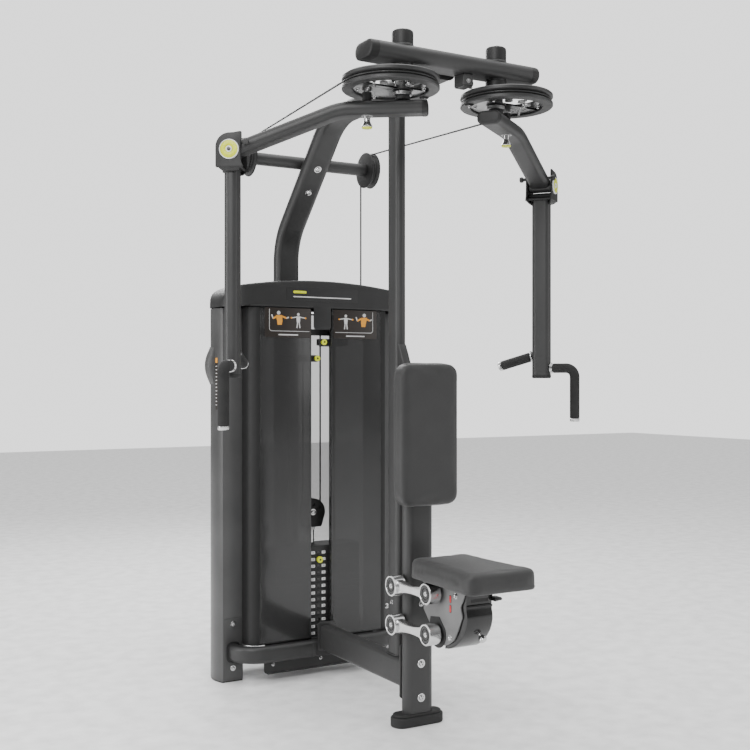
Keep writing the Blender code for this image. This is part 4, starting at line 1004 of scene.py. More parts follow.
def make_base():
    section = rounded_rect(BASE_HEIGHT, BASE_THICK, 0.0165, 8)
    front = sweep("front_base", base_line(UPRIGHT_FRONT - 0.0005, BUMPER_Y, 0.085), section, Z_AXIS,
                  STEEL)
    face = BUMPER_Y - BASE_THICK / 2
    parts = [front]
    for end in (-1, 1):
        beads = [(end * 0.052, y, z) for y, z in
                 [(BUMPER_Y + a, BASE_Z + b) for a, b in
                  rounded_rect(BASE_THICK + 0.001, BASE_HEIGHT + 0.001, 0.017, 8)]]
        parts.append(bead("splice_weld", beads, 0.0012))
    parts.append(slab("splice_plate", [rounded_rect(0.084, 0.046, 0.010, 6)], (0, -1, 0), X_AXIS,
                      (0, face + 0.0008, BASE_Z), 0.0022, CAP, 0.0008))
    parts.append(bolt((0, face - 0.0003, BASE_Z), (0, -1, 0), 0.0066, 0.0098))
    place(join("front_base_finished", parts), "frame", "frame_steel", "front_base_tube")

    far = NECK_Y - FLAT_TUBE[1] / 2 - 0.0003 - BASE_THICK / 2
    rear = sweep("rear_base", base_line(UPRIGHT_BACK + 0.0005, far, 0.060), section, Z_AXIS, STEEL)
    place(rear, "frame", "frame_steel", "rear_base_tube")

    top = BUMPER_Y + BASE_THICK / 2
    kick = slab("kick", [rounded_rect(0.450, 0.105, 0.012, 8)], (0, -1, 0), X_AXIS,
                (0, top + 0.0045, 0.0825), 0.004, PLASTIC, 0.001)
    lip = slab("kick_lip", [strip([(-0.218, 0.034), (-0.211, 0.0285), (0.211, 0.0285),
                                   (0.218, 0.034)], 0.003)], (0, -1, 0), X_AXIS,
               (0, top + 0.0015, 0), 0.003, PLASTIC, 0.0006)
    holes = [bolt((x, top + 0.0025, 0.060), (0, -1, 0), 0.0045, 0.0062)
             for x in (-0.19, 0.0, 0.19)]
    place(join("kick_panel_finished", [kick, lip] + holes), "frame", "black_plastic", "kick_panel")


def shroud_face(side):
    """Plan of a front shroud's smoked face, from the lip beside the gap outwards."""
    line = [(SHROUD_IN + 0.0015, SHROUD_Y + 0.022), (SHROUD_IN + 0.0015, SHROUD_Y + 0.010)]
    line += arc((SHROUD_IN + 0.0085, SHROUD_Y + 0.0085), 0.007, 180, 270, 6)
    line += [(SHROUD_EDGE, SHROUD_Y)]
    return [(side * x, y) for x, y in line]


def shroud_return(side):
    """Plan of the near-black matt return that bends from the face's edge back to the upright; its black
    is painted shade for the shadowed gap there.
    """
    bend = SHROUD_OUT - SHROUD_EDGE
    line = arc((SHROUD_EDGE, SHROUD_Y + bend), bend, 270, 360, 16)
    line += [(SHROUD_OUT, UPRIGHT_FRONT - 0.0006)]
    return [(side * x, y) for x, y in line]


def make_shrouds():
    for side, word in SIDES:
        # the return is painted near black: painted shade for the gap beside the upright
        parts = [standing("shroud_skin", strip(shroud_face(side), 0.003), SHROUD_LOW, SHROUD_HIGH,
                          SMOKE, 0.0, 20),
                 standing("shroud_shaded_return", strip(shroud_return(side), 0.003), SHROUD_LOW,
                          SHROUD_HIGH, RETURN_SHADE, 0.0, 20)]
        for z in (SHROUD_LOW + 0.0035, SHROUD_HIGH - 0.0035):
            parts.append(standing("shroud_hem", strip(shroud_face(side), 0.0046), z - 0.003,
                                  z + 0.003, GLOSS, 0.0005, 20))
        place(join("shroud_finished_" + word, parts), "frame", "smoked_shroud", "shroud_" + word)
    rear = [(SHROUD_OUT, UPRIGHT_BACK + 0.0005)]
    rear += arc((SHROUD_OUT - 0.030, UPRIGHT_BACK + 0.015), 0.030, 0, 90, 14)
    line = rear + [(-x, y) for x, y in rear[::-1]]
    skin = standing("rear_skin", strip(line, 0.003), SHROUD_LOW, UPRIGHT_TOP, CLEAR, 0.0, 20)
    parts = [skin]
    for z in (SHROUD_LOW + 0.0035, UPRIGHT_TOP - 0.0035):
        parts.append(standing("rear_hem", strip(line, 0.0046), z - 0.003, z + 0.003, GLOSS, 0.0005,
                              20))
    place(join("rear_shroud_finished", parts), "frame", "smoked_shroud", "rear_shroud")


def header_outline(inset=0.0, low=HEADER_LOW):
    """Front view of the header: an arched top with round shoulders."""
    half, shoulder = 0.310, 0.075
    crown = [(half * (1 - i / 14), HEADER_SIDE - inset + (HEADER_MID - HEADER_SIDE)
              * (1 - (1 - i / 14) ** 2)) for i in range(29)]
    right = arc((UPRIGHT_OUT - shoulder, HEADER_SIDE - shoulder), shoulder - inset, 0, 75, 16)
    left = [(-x, z) for x, z in right[::-1]]
    return [(UPRIGHT_OUT - inset, low + inset)] + right + crown + left + [(inset - UPRIGHT_OUT,
                                                                           low + inset)]


def header_half(y, inset=0.0):
    """Half the header's width at a depth, with its corners rounded in plan."""
    for depth, radius in ((y - HEADER_FRONT, 0.085), (HEADER_BACK - y, 0.046)):
        if depth < radius:
            reach = (radius - inset) ** 2 - (radius - depth) ** 2
            return UPRIGHT_OUT - radius + math.sqrt(max(reach, 0.0))
    return UPRIGHT_OUT - inset


def header_loop(y, inset, low=HEADER_LOW, wall=0.0):
    half = header_half(y, wall)
    return [(max(-half, min(half, x)), y, z) for x, z in header_outline(inset, low)]


def make_header():
    edge = ((0.0, 0.007), (0.0018, 0.0030), (0.0045, 0.0010), (0.009, 0.0), (0.015, 0.0),
            (0.022, 0.0), (0.030, 0.0), (0.040, 0.0), (0.052, 0.0), (0.068, 0.0), (0.086, 0.0))
    rows = [(HEADER_FRONT + depth, inset) for depth, inset in edge]
    rows += [(HEADER_BACK - depth, inset) for depth, inset in edge[::-1] if depth < 0.047]
    outer = rings("header_shell", [header_loop(y, inset) for y, inset in rows], PLASTIC)
    depths = [HEADER_FRONT + depth for depth in (0.0045, 0.012, 0.025, 0.045, 0.086)]
    depths += [HEADER_BACK - depth for depth in (0.046, 0.030, 0.016, 0.0045)]
    inner = rings("header_room", [header_loop(y, 0.004, HEADER_LOW - 0.05, 0.004)
                                  for y in depths], PLASTIC)
    holes = [rod("cable_hole", (side * GUIDE_X, BAR_Y + GUIDE_PITCH, 1.36),
                 (side * GUIDE_X, BAR_Y + GUIDE_PITCH, 1.46), 0.009, PLASTIC) for side in (-1, 1)]
    shell = hollowed(outer, inner, *holes)
    grommets = []
    for side in (-1, 1):
        rise = (HEADER_MID - HEADER_SIDE) * (1 - (GUIDE_X / 0.310) ** 2)
        grommets.append(lathe("grommet", [(0.0062, 0), (0.0125, 0), (0.0120, 0.0022),
                                          (0.0080, 0.0030), (0.0062, 0.0022), (0.0062, 0)],
                              (side * GUIDE_X, BAR_Y + GUIDE_PITCH, HEADER_SIDE + rise - 0.001),
                              Z_AXIS, RUBBER, 28))
    tab = [(-0.035, 1.345), (-0.035, 1.268), (-0.031, 1.2585), (-0.024, 1.2570), (0.024, 1.2570),
           (0.031, 1.2585), (0.035, 1.268), (0.035, 1.345)]
    tongue = slab("header_tab", [tab], (0, -1, 0), X_AXIS, (0, HEADER_FRONT + 0.0022, 0), 0.004,
                  PLASTIC, 0.001)
    blank = slab("name_blank", [rounded_rect(0.290, 0.050, 0.008, 8)], (0, -1, 0), X_AXIS,
                 (0.0, HEADER_FRONT - 0.0002, 1.384), 0.0016, PLASTIC, 0.0006)
    line = slab("name_line", [rounded_rect(0.236, 0.0040, 0.0018, 5)], (0, -1, 0), X_AXIS,
                (0.0, HEADER_FRONT - 0.0012, 1.3735), 0.0008, PRINT, 0.0002)
    accent = slab("name_accent", [rounded_rect(0.052, 0.0090, 0.0030, 5)], (0, -1, 0), X_AXIS,
                  (-0.092, HEADER_FRONT - 0.0012, 1.3905), 0.0008, LIME, 0.0002)
    place(join("header_finished", [shell, tongue, blank, line, accent] + grommets), "frame",
          "black_plastic", "header")


def mark(loop, middle_x, level, surface, layer):
    """A thin printed shape on the front of a placard."""
    flat = [(middle_x + x, level + z) for x, z in loop]
    return slab("print", [flat], (0, -1, 0), X_AXIS, (0, SHROUD_Y - 0.0036 - layer * 0.0003, 0),
                0.0005, surface, 0.0)


def limb(start, end, wide):
    return strip([start, ((start[0] + end[0]) / 2, (start[1] + end[1]) / 2), end], wide)


def torso(middle_x, level, lean):
    """A printed half figure: head, broad chest and two raised arms."""
    chest = [(-0.012 + lean, 0.016), (0.013 + lean, 0.017), (0.011, -0.004), (0.008, -0.018),
             (-0.008, -0.018), (-0.010, -0.003)]
    return [mark(chest, middle_x, level, AMBER, 0),
            mark(circle((lean * 1.3, 0.025), 0.0068, 20), middle_x, level, PRINT, 0),
            mark(limb((-0.010, 0.012), (-0.026, 0.004), 0.006), middle_x, level, AMBER, 1),
            mark(limb((-0.026, 0.004), (-0.031, 0.018), 0.0045), middle_x, level, PRINT, 1),
            mark(limb((0.011, 0.012), (0.027, 0.006), 0.006), middle_x, level, AMBER, 1),
            mark(limb((0.027, 0.006), (0.036, 0.010), 0.0045), middle_x, level, PRINT, 1)]


def standing_figure(middle_x, level, spread):
    """A printed whole figure with its arms out to the sides."""
    body = [(-0.008, 0.016), (0.008, 0.016), (0.006, -0.006), (-0.006, -0.006)]
    parts = [mark(body, middle_x, level, PRINT, 0),
             mark(circle((0, 0.023), 0.0052, 18), middle_x, level, PRINT, 0)]
    for way in (-1, 1):
        parts.append(mark(limb((way * 0.007, 0.013), (way * spread, 0.010), 0.0034), middle_x, level,
                          PRINT, 1))
        parts.append(mark(circle((way * spread, 0.010), 0.0032, 12), middle_x, level, AMBER, 2))
        parts.append(mark(limb((way * 0.003, -0.005), (way * 0.006, -0.026), 0.0042), middle_x, level,
                          PRINT, 1))
    return parts


def make_placards():
    """Two exercise placards under the header, with pictures and no wording."""
    bottom, top = 1.226, 1.332
    for side, word in SIDES:
        inner, outer = 0.046, 0.228
        middle_x = side * (inner + outer) / 2
        level = (bottom + top) / 2
        face = slab("placard_face", [rounded_rect(outer - inner, top - bottom, 0.006, 6)],
                    (0, -1, 0), X_AXIS, (middle_x, SHROUD_Y - 0.0025, level), 0.0016, PLACARD,
                    0.0004)
        drop, wide = 0.030, 0.074
        frame_line = [(-side * wide, 0.048), (-side * wide, drop * -1 + 0.010)]
        frame_line += [(-side * (wide - 0.010 + 0.010 * math.cos(math.radians(a))),
                        -drop + 0.010 - 0.010 * math.sin(math.radians(a))) for a in range(15, 91, 15)]
        frame_line = [(-x, z) for x, z in frame_line] + [(-side * (wide + 0.010), -drop)]
        parts = [face, mark(strip(frame_line, 0.0016), middle_x, level, PRINT, 0)]
        parts += torso(middle_x + side * 0.034, level + 0.010, 0.003 * side)
        parts += standing_figure(middle_x - side * 0.040, level + 0.008, 0.028)
        parts += [mark(rounded_rect(0.078, 0.0042, 0.0018, 4), middle_x, level - 0.043, PRINT, 0)]
        place(join("placard_" + word, parts), "frame", "black_plastic")


def make_side_holder():
    """A curved pocket on the left upright's outer face, with a coloured index strip."""
    center_y, mid, long, wide = 0.792, 1.1255, 0.135, 0.050
    loops = []
    count = 16
    for index in range(count + 1):
        share = index / count
        bulge = 0.0250 * math.sin(math.pi * min(max(share, 0.02), 0.98)) ** 0.8
        z = mid + long / 2 - long * share
        half = wide / 2 * (0.72 + 0.28 * math.sin(math.pi * share))
        ring = [(-UPRIGHT_OUT + 0.004, center_y - half), (-UPRIGHT_OUT + 0.004, center_y + half)]
        ring += [(-UPRIGHT_OUT - bulge * math.sin(math.radians(a)) ** 0.6,
                  center_y + half * math.cos(math.radians(a))) for a in range(10, 171, 16)]
        loops.append([(x, y, z) for x, y in ring])
    shell = rings("holder_shell", loops, HOLDER, angle=60)
    place(join("side_holder_finished", [shell]), "frame", "black_plastic", "side_holder")
    lean = math.radians(12.7)
    face = Vector((-math.cos(lean), -math.sin(lean), 0))
    along = Vector((math.sin(lean), -math.cos(lean), 0))
    spot = Vector((UPRIGHT_ROUND - UPRIGHT_OUT, UPRIGHT_MID, 0)) + face * (UPRIGHT_ROUND - 0.0002)
    strip_parts = [slab("index_strip", [rounded_rect(0.013, 0.185, 0.003, 4)], face, along,
                        spot + Z_AXIS * 1.0605, 0.0016, PLACARD, 0.0003)]
    strip_parts.append(slab("index_patch", [rounded_rect(0.0125, 0.018, 0.002, 4)], face, along,
                            spot + face * 0.0005 + Z_AXIS * 1.144, 0.0016, AMBER, 0.0002))
    for row in range(12):
        strip_parts.append(slab("index_bar", [rounded_rect(0.0085, 0.0034, 0.001, 3)], face, along,
                                spot + face * 0.0007 + Z_AXIS * (1.123 - row * 0.0125), 0.0012,
                                PRINT, 0.0001))
    place(join("index_strip_finished", strip_parts), "frame", "black_plastic")


for side, word in SIDES:
    make_upright(side, word)
make_base()
make_shrouds()
make_header()
make_placards()
make_side_holder()


# ------------------------------------------------------------ weight stack

def plate(name, center_z, thick, hole, surface):
    outline = rounded_rect(2 * PLATE_HALF, PLATE_BACK - PLATE_FRONT, 0.005, 5)
    lift = ROD_Y - (PLATE_FRONT + PLATE_BACK) / 2
    loops = [outline, circle((-ROD_X, lift), 0.0112, 24), circle((ROD_X, lift), 0.0112, 24),
             circle((0, lift), hole, 24)]
    return slab(name, loops, Z_AXIS, X_AXIS, (0, (PLATE_FRONT + PLATE_BACK) / 2, center_z), thick,
                surface, 0.0012)


def numeral(text, x, z, size=0.0082):
    """A small numeral standing on the front of a tab."""
    data = bpy.data.curves.new("numeral", "FONT")
    data.body = text
    data.size = size
    data.align_x = "CENTER"
    data.align_y = "CENTER"
    data.extrude = 0.0002
    data.resolution_u = 2
    holder = bpy.data.objects.new("numeral", data)
    bpy.context.scene.collection.objects.link(holder)
    mesh = baked(holder)
    bpy.data.objects.remove(holder, do_unlink=True)
    mesh.transform(Matrix.Translation((x, PLATE_FRONT - 0.0017, z))
                   @ Matrix.Rotation(math.radians(90), 4, "X"))
    return finish_mesh("numeral", mesh, GLOSS)


def plate_face(row, z):
    """The selector hole of one row, drawn as a black disc of painted shade, and the numbered tab on each
    side of it.
    """
    # painted shade: a gloss black disc stands for the shaded selector hole
    parts = [lathe("selector_hole_shade", [(0, 0.0010), (0.0052, 0.0012), (0.0066, 0.0014), (0.0074, 0.0004),
                                     (0.0074, -0.001), (0, -0.001)],
                   (0, PLATE_FRONT - 0.0002, z), (0, -1, 0), GLOSS, 28)]
    for way in (-1, 1):
        x = way * 0.0215
        parts.append(slab("tab", [rounded_rect(0.0150, 0.0105, 0.0018, 4)], (0, -1, 0), X_AXIS,
                          (x, PLATE_FRONT - 0.0008, z), 0.0016, WHITE, 0.0004))
        parts.append(numeral(str(5 + 5 * row), x, z))
    return parts


def make_stack():
    thick = PITCH - 0.0010
    static = []
    for row in range(PIN_ROW + 1, ROWS + 1):
        z = ROW_1 - PITCH * (row - 1)
        static.append(plate("stack_plate", z, thick, 0.0118, IRON))
        static += plate_face(row, z)
    place(join("stack_plates", static), "frame", "stack_iron", "weight_stack")
    z = ROW_1 - PITCH * (PIN_ROW - 1)
    held = [plate("held_plate", z, thick, 0.0118, IRON)] + plate_face(PIN_ROW, z)
    place(join("held_plate_finished", held), "lifted_stack", "stack_iron", "weight_plate_2")
    low_edge, high_edge = ROW_1 - thick / 2, 0.467
    head = [plate("head", (low_edge + high_edge) / 2, high_edge - low_edge, 0.0102, IRON)]
    head += plate_face(1, ROW_1)
    for way in (-1, 1):
        head.append(lathe("guide_bush", [(0.0102, 0), (0.0165, 0), (0.0165, 0.0050), (0.0150, 0.0062),
                                         (0.0102, 0.0062), (0.0102, 0)],
                          (way * ROD_X, ROD_Y, high_edge - 0.0006), Z_AXIS, CAP, 36))
    place(join("head_plate_finished", head), "lifted_stack", "stack_iron", "head_plate")
    base = block("stack_floor", low("stack_base"), high("stack_base"), STEEL, 0.002)
    place(join("stack_base_finished", [base]), "frame", "frame_steel", "stack_base")
    for way, word in SIDES:
        node = "guide_rod_" + word
        place(rod("guide_rod_finished_" + word, (way * ROD_X, ROD_Y, low(node).z),
                  (way * ROD_X, ROD_Y, high(node).z), 0.0095, CHROME), "frame", "chrome", node)
    selector = rod("selector", (0, ROD_Y, low("selector_rod").z), (0, ROD_Y, high("selector_rod").z),
                   0.010, CHROME)
    place(selector, "lifted_stack", "chrome", "selector_rod")
    pin_z = ROW_1 - PITCH * (PIN_ROW - 1)
    pin = lathe("pin_shaft", [(0, 0), (0.0046, 0.003), (0.005, 0.007), (0.005, 0.0755), (0, 0.0755)],
                (0, PLATE_FRONT + 0.0755, pin_z), (0, -1, 0), CHROME, 24)
    head = lathe("pin_head", [(0, -0.001), (0.0078, -0.001), (0.0085, 0.003), (0.0112, 0.0075),
                              (0.0120, 0.0100), (0.0120, 0.0150), (0.0108, 0.0178), (0.0085, 0.0190),
                              (0.0070, 0.0192), (0.0062, 0.0184), (0, 0.0180)],
                 (0, PLATE_FRONT - 0.0003, pin_z), (0, -1, 0), LIME, 40)
    eye_ring = lathe("pin_eye", [(0, 0.0), (0.0040, 0.0), (0.0036, 0.0012), (0, 0.0015)],
                     (0, PLATE_FRONT - 0.0182, pin_z), (0, -1, 0), CAP, 24)
    place(join("selector_pin_finished", [pin, head, eye_ring]), "selector_pin", "lime_accent",
          "selector_pin")
    place(hollowed(block("top_bar", low("crosshead"), high("crosshead"), STEEL, 0.003),
                   *[rod("strand_hole", (way * FLOAT_PITCH, ROD_Y, 1.2), (way * FLOAT_PITCH, ROD_Y, 1.3),
                         0.006, STEEL) for way in (-1, 1)]), "frame", "frame_steel", "crosshead")


def wheel(name, center, axis, groove, rim, half, bore, surface=None):
    """A grooved cable wheel with a dished web and a round-bottomed groove."""
    surface = surface or SHEAVE
    seat = min(CABLE_RADIUS * 1.1, half - 0.0018)
    hub = bore + 0.008
    web = half * 0.45
    profile = [(bore, half), (hub, half), (hub + 0.0012, web), (groove - 0.0085, web),
               (groove - 0.0072, half), (rim - 0.0010, half), (rim, half - 0.0012)]
    profile += [(groove + 0.0026 - 0.0026 * math.cos(math.radians(a)),
                 seat * math.sin(math.radians(a))) for a in range(80, -81, -20)]
    profile += [(rim, -half + 0.0012), (rim - 0.0010, -half), (groove - 0.0072, -half),
                (groove - 0.0085, -web), (hub + 0.0012, -web), (hub, -half), (bore, -half),
                (bore, half)]
    return lathe(name, profile, center, axis, surface, 64, 28)


def cable_plane(side):
    start = Vector((side * FLOAT_PITCH, ROD_Y, 0))
    end = Vector((side * GUIDE_X, BAR_Y + GUIDE_PITCH, 0))
    return start, (end - start).normalized(), (end - start).length


TOP_PITCH = 0.030
INNER_Z = 1.2985


def make_pulleys():
    bracket_low, half = 0.531, 0.0135
    round_top = arc((0, FLOAT_Z), 0.050, -25, 205, 40)
    outline = round_top + [(-0.036, bracket_low + 0.004), (-0.032, bracket_low),
                           (0.032, bracket_low), (0.036, bracket_low + 0.004)]
    windows = [circle((0.029 * math.cos(math.radians(a)), FLOAT_Z + 0.029 * math.sin(
        math.radians(a))), 0.0075, 20) for a in (30, 150, 90)]
    parts = []
    for way in (-1, 1):
        parts.append(slab("bracket_cheek", [outline] + windows, (0, -1, 0), X_AXIS,
                          (0, ROD_Y + way * (half - 0.0022), 0), 0.0042, CAP, 0.0008))
    parts.append(block("bracket_foot", (-0.033, ROD_Y - half + 0.001, bracket_low + 0.0002),
                       (0.033, ROD_Y + half - 0.001, bracket_low + 0.0095), CAP, 0.0015))
    parts.append(rod("bracket_axle", (0, ROD_Y - 0.0155, FLOAT_Z), (0, ROD_Y + 0.0155, FLOAT_Z), 0.0072,
                     CHROME))
    parts.append(bolt((0, ROD_Y - half - 0.0002, FLOAT_Z), (0, -1, 0), 0.0080, 0.0118))
    parts.append(bolt((0, ROD_Y + half + 0.0002, FLOAT_Z), (0, 1, 0), 0.0080, 0.0118))
    parts.append(lathe("foot_nut", [(0, 0), (0.0155, 0), (0.0155, 0.009), (0.014, 0.0105), (0, 0.0105)],
                       (0, ROD_Y, bracket_low - 0.0100), Z_AXIS, ZINC, 6))
    place(join("bracket_finished", parts), "lifted_stack", "black_plastic", "pulley_bracket")
    place(wheel("float_wheel", (0, ROD_Y, FLOAT_Z), (0, 1, 0), FLOAT_PITCH - CABLE_RADIUS - 0.0004,
                FLOAT_PITCH + 0.006, 0.007, 0.0082), "floating_pulley", "black_plastic",
          "floating_pulley")
    for side, word in SIDES:
        start, way, length = cable_plane(side)
        for spot, reach, z in (("inner", TOP_PITCH, INNER_Z),
                               ("outer", length - TOP_PITCH, INNER_Z + 2 * TOP_PITCH)):
            center = start + way * reach + Z_AXIS * z
            axis = Vector((-way.y, way.x, 0))
            node = "top_pulley_%s_%s" % (spot, word)
            made = wheel("top_wheel_%s_%s" % (spot, word), center, axis,
                         TOP_PITCH - CABLE_RADIUS - 0.0004, TOP_PITCH + 0.005, 0.007, 0.008)
            place(made, node, "black_plastic", node)
            cheeks = [slab("top_cheek", [[(-0.016, 0.012), (0.016, 0.012), (0.011, -0.030),
                                          (-0.011, -0.030)] if spot == "outer" else
                                         [(-0.014, -0.034), (0.014, -0.034), (0.010, 0.011),
                                          (-0.010, 0.011)]], axis, way, center + axis * end * 0.0098,
                           0.003, STEEL, 0.0006) for end in (-1, 1)]
            axle = rod("top_axle", center - axis * 0.0145, center + axis * 0.0145, 0.0072, ZINC)
            place(join("top_mount_%s_%s" % (spot, word), cheeks + [axle]), "frame", "frame_steel")
        hub = [wheel("guide_rim", (side * GUIDE_X, BAR_Y, BAR_Z), X_AXIS,
                     GUIDE_PITCH - CABLE_RADIUS - 0.0004, 0.067, 0.015, 0.0125)]
        for end in (-1, 1):
            hub.append(lathe("guide_cover", [(0.0128, 0.0166), (0.0620, 0.0166), (0.0662, 0.0160),
                                             (0.0672, 0.0146), (0.0668, 0.0118), (0.0600, 0.0112),
                                             (0.0128, 0.0112), (0.0128, 0.0166)],
                             (side * GUIDE_X, BAR_Y, BAR_Z), (end, 0, 0), CAP, 64))
        place(join("guide_wheel_" + word, hub), "guide_pulley_" + word, "black_plastic",
              "guide_pulley_" + word)


def make_increments():
    """Two small add-on weights on the guide rods, with bright finger knobs."""
    for side, word in SIDES:
        node = "increment_" + word
        z = {"left": 1.153, "right": 1.213}[word]
        outline = [(0.004, 0.675), (0.118, 0.675), (0.125, 0.682), (0.125, 0.788), (0.118, 0.795),
                   (0.064, 0.795), (0.058, 0.789), (0.058, 0.704), (0.054, 0.700), (0.004, 0.700),
                   (0.002, 0.698), (0.002, 0.677)]
        loops = [[(side * x, y) for x, y in outline], circle((side * ROD_X, ROD_Y), 0.0105, 28)]
        parts = [slab("add_on", loops, Z_AXIS, X_AXIS, (0, 0, z), 0.024, IRON, 0.0015)]
        parts.append(lathe("add_on_knob", [(0, 0), (0.0060, 0), (0.0062, 0.006), (0.0098, 0.010),
                                           (0.0110, 0.014), (0.0108, 0.0185), (0.0092, 0.0198),
                                           (0.0060, 0.0200), (0, 0.0196)],
                           (side * 0.014, 0.6755, z), (0, -1, 0), LIME, 36))
        parts.append(lathe("add_on_eye", [(0, 0), (0.0036, 0), (0.0032, 0.0010), (0, 0.0012)],
                           (side * 0.014, 0.6559, z), (0, -1, 0), CAP, 20))
        parts.append(lathe("add_on_bush", [(0.0102, 0), (0.0150, 0), (0.0150, 0.0030),
                                           (0.0102, 0.0036), (0.0102, 0)],
                           (side * ROD_X, ROD_Y, z + 0.0118), Z_AXIS, CAP, 32))
        place(join("increment_finished_" + word, parts), node, "stack_iron", node)


def make_cables():
    for side, word in SIDES:
        center = Vector((PIVOT_X + CAM_OFFSET, BEAM_Y))
        radius = CAM_RADIUS - 0.011 + CABLE_RADIUS + 0.0006
        away = Vector((GUIDE_X, BAR_Y)) - center
        turn = math.atan2(away.y, away.x) - math.acos(radius / away.length)
        spot = Vector((side * (center.x + radius * math.cos(turn)),
                       center.y + radius * math.sin(turn), CAM_Z))
        top = Vector((side * GUIDE_X, BAR_Y - 0.002, BAR_Z + GUIDE_PITCH))
        run = pipe("cable_run_finished_" + word, [spot, spot.lerp(top, 0.5), top], CABLE_RADIUS, CABLE)
        place(run, "cable_run_" + word, "cable_sheath", "cable_run_" + word)
        start, way, length = cable_plane(side)
        route = [(side * GUIDE_X, y, z) for y, z in arc((BAR_Y, BAR_Z), GUIDE_PITCH, 90, 0, 24)]
        turns = arc((length - TOP_PITCH, INNER_Z + 2 * TOP_PITCH), TOP_PITCH, 0, -90, 14)
        turns += arc((TOP_PITCH, INNER_Z), TOP_PITCH, 90, 180, 14)
        route += [tuple((start + way * reach) + Z_AXIS * z) for reach, z in turns]
        place(pipe("cable_drop_finished_" + word, route, CABLE_RADIUS, CABLE), "frame",
              "cable_sheath", "cable_drop_" + word)
    strand_top = INNER_Z - 0.001
    strands = [pipe("strand", [(way * FLOAT_PITCH, ROD_Y, FLOAT_Z + (strand_top - FLOAT_Z) * i / 12)
                               for i in range(13)], CABLE_RADIUS, CABLE) for way in (-1, 1)]
    loop = pipe("lift_wrap", [(x, ROD_Y, z) for x, z in
                              arc((0, FLOAT_Z), FLOAT_PITCH, 0, -180, 32)], CABLE_RADIUS, CABLE)
    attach(loop, "lifted_stack")
    lift = join("lift_strands", strands)
    place(lift, "frame", "cable_sheath", "lift_cable")
    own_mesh(lift)


make_stack()
make_pulleys()
make_increments()
make_cables()


# ------------------------------------------------------------ seat

def dog_bone(level, ring, waist):
    """Side view of a link: two round ends and a waisted web between them."""
    rear, front = Vector((0.0, level)), Vector((LINK_FRONT_Y, level + LINK_RISE))
    middle_z = (rear.y + front.y) / 2
    flare = ring * math.sin(math.radians(50)) - waist

    def web(start, stop, way):
        """The waisted edge between two ends, above (way 1) or below (way -1) the middle."""
        edge = []
        for index in range(1, 12):
            share = index / 12
            rise = waist + flare * (2 * share - 1) ** 2 + LINK_RISE * (share - 0.5)
            edge.append((start + (stop - start) * share, middle_z + way * rise))
        return edge

    points = arc(rear, ring, -130, 130, 30)
    points += web(points[-1][0], front.x + ring * math.cos(math.radians(50)), 1)
    points += arc(front, ring, 50, 310, 30)
    return points + web(points[-1][0], points[0][0], -1)


def make_links():
    for word, level in LINKS.items():
        parts = []
        for way in (-1, 1):
            web_in, web_out = LINK_IN + 0.007, LINK_OUT - 0.007
            outline = dog_bone(level, LINK_RING - 0.0035, 0.0125)
            parts.append(slab("link_web", [outline], X_AXIS, Y_AXIS,
                              (way * (web_in + web_out) / 2, 0, 0), web_out - web_in, ALLOY, 0.003))
            for y, z in ((0.0, level), (LINK_FRONT_Y, level + LINK_RISE)):
                wide = LINK_OUT - LINK_IN
                start = (way * LINK_IN, y, z)
                parts.append(lathe("link_ring", [(0.0262, 0.0), (LINK_RING - 0.0015, 0.0),
                                                 (LINK_RING, 0.0015), (LINK_RING, wide - 0.0018),
                                                 (LINK_RING - 0.0018, wide), (0.0270, wide),
                                                 (0.0262, wide - 0.0010), (0.0262, 0.0)],
                                   start, (way, 0, 0), ALLOY, 64))
                face = wide - 0.0022
                parts.append(lathe("link_face", [(0, face - 0.0012), (0.0085, face - 0.0012),
                                                 (0.0088, face), (0.0150, face), (0.0155, face - 0.0016),
                                                 (0.0172, face - 0.0016), (0.0177, face),
                                                 (0.0240, face), (0.0245, face - 0.0014),
                                                 (0.0265, face - 0.0014), (0.0265, 0.0008),
                                                 (0, 0.0008)], start, (way, 0, 0), GLOSS, 56))
                parts.append(lathe("link_screw", [(0, 0), (0.0078, 0), (0.0078, 0.0012),
                                                  (0.0062, 0.0026), (0.0030, 0.0028),
                                                  (0.0026, 0.0014), (0, 0.0014)],
                                   (way * (LINK_IN + face - 0.0012), y, z), (way, 0, 0), CHROME, 28))
        for y, z in ((0.0, level), (LINK_FRONT_Y, level + LINK_RISE)):
            parts.append(rod("link_shaft", (-LINK_IN - 0.002, y, z), (LINK_IN + 0.002, y, z), 0.012,
                             ZINC))
        place(join(word + "_finished", parts), word, "polished_alloy", word)


CARRIAGE_HALF, CARRIAGE_TOP = 0.050, 0.4815


def carriage_outline():
    outline = [(-0.118, 0.385), (-0.118, CARRIAGE_TOP), (-0.335, CARRIAGE_TOP), (-0.331, 0.455),
               (-0.324, 0.440), (-0.3165, 0.430), (-0.3135, 0.424), (-0.3150, 0.414), (-0.3205, 0.400),
               (-0.3205, 0.393), (-0.300, 0.352), (-0.280, 0.322)]
    outline += arc((-0.222, 0.358), 0.062, -125, -55, 10)
    return outline + [(-0.172, 0.324), (-0.150, 0.350)]


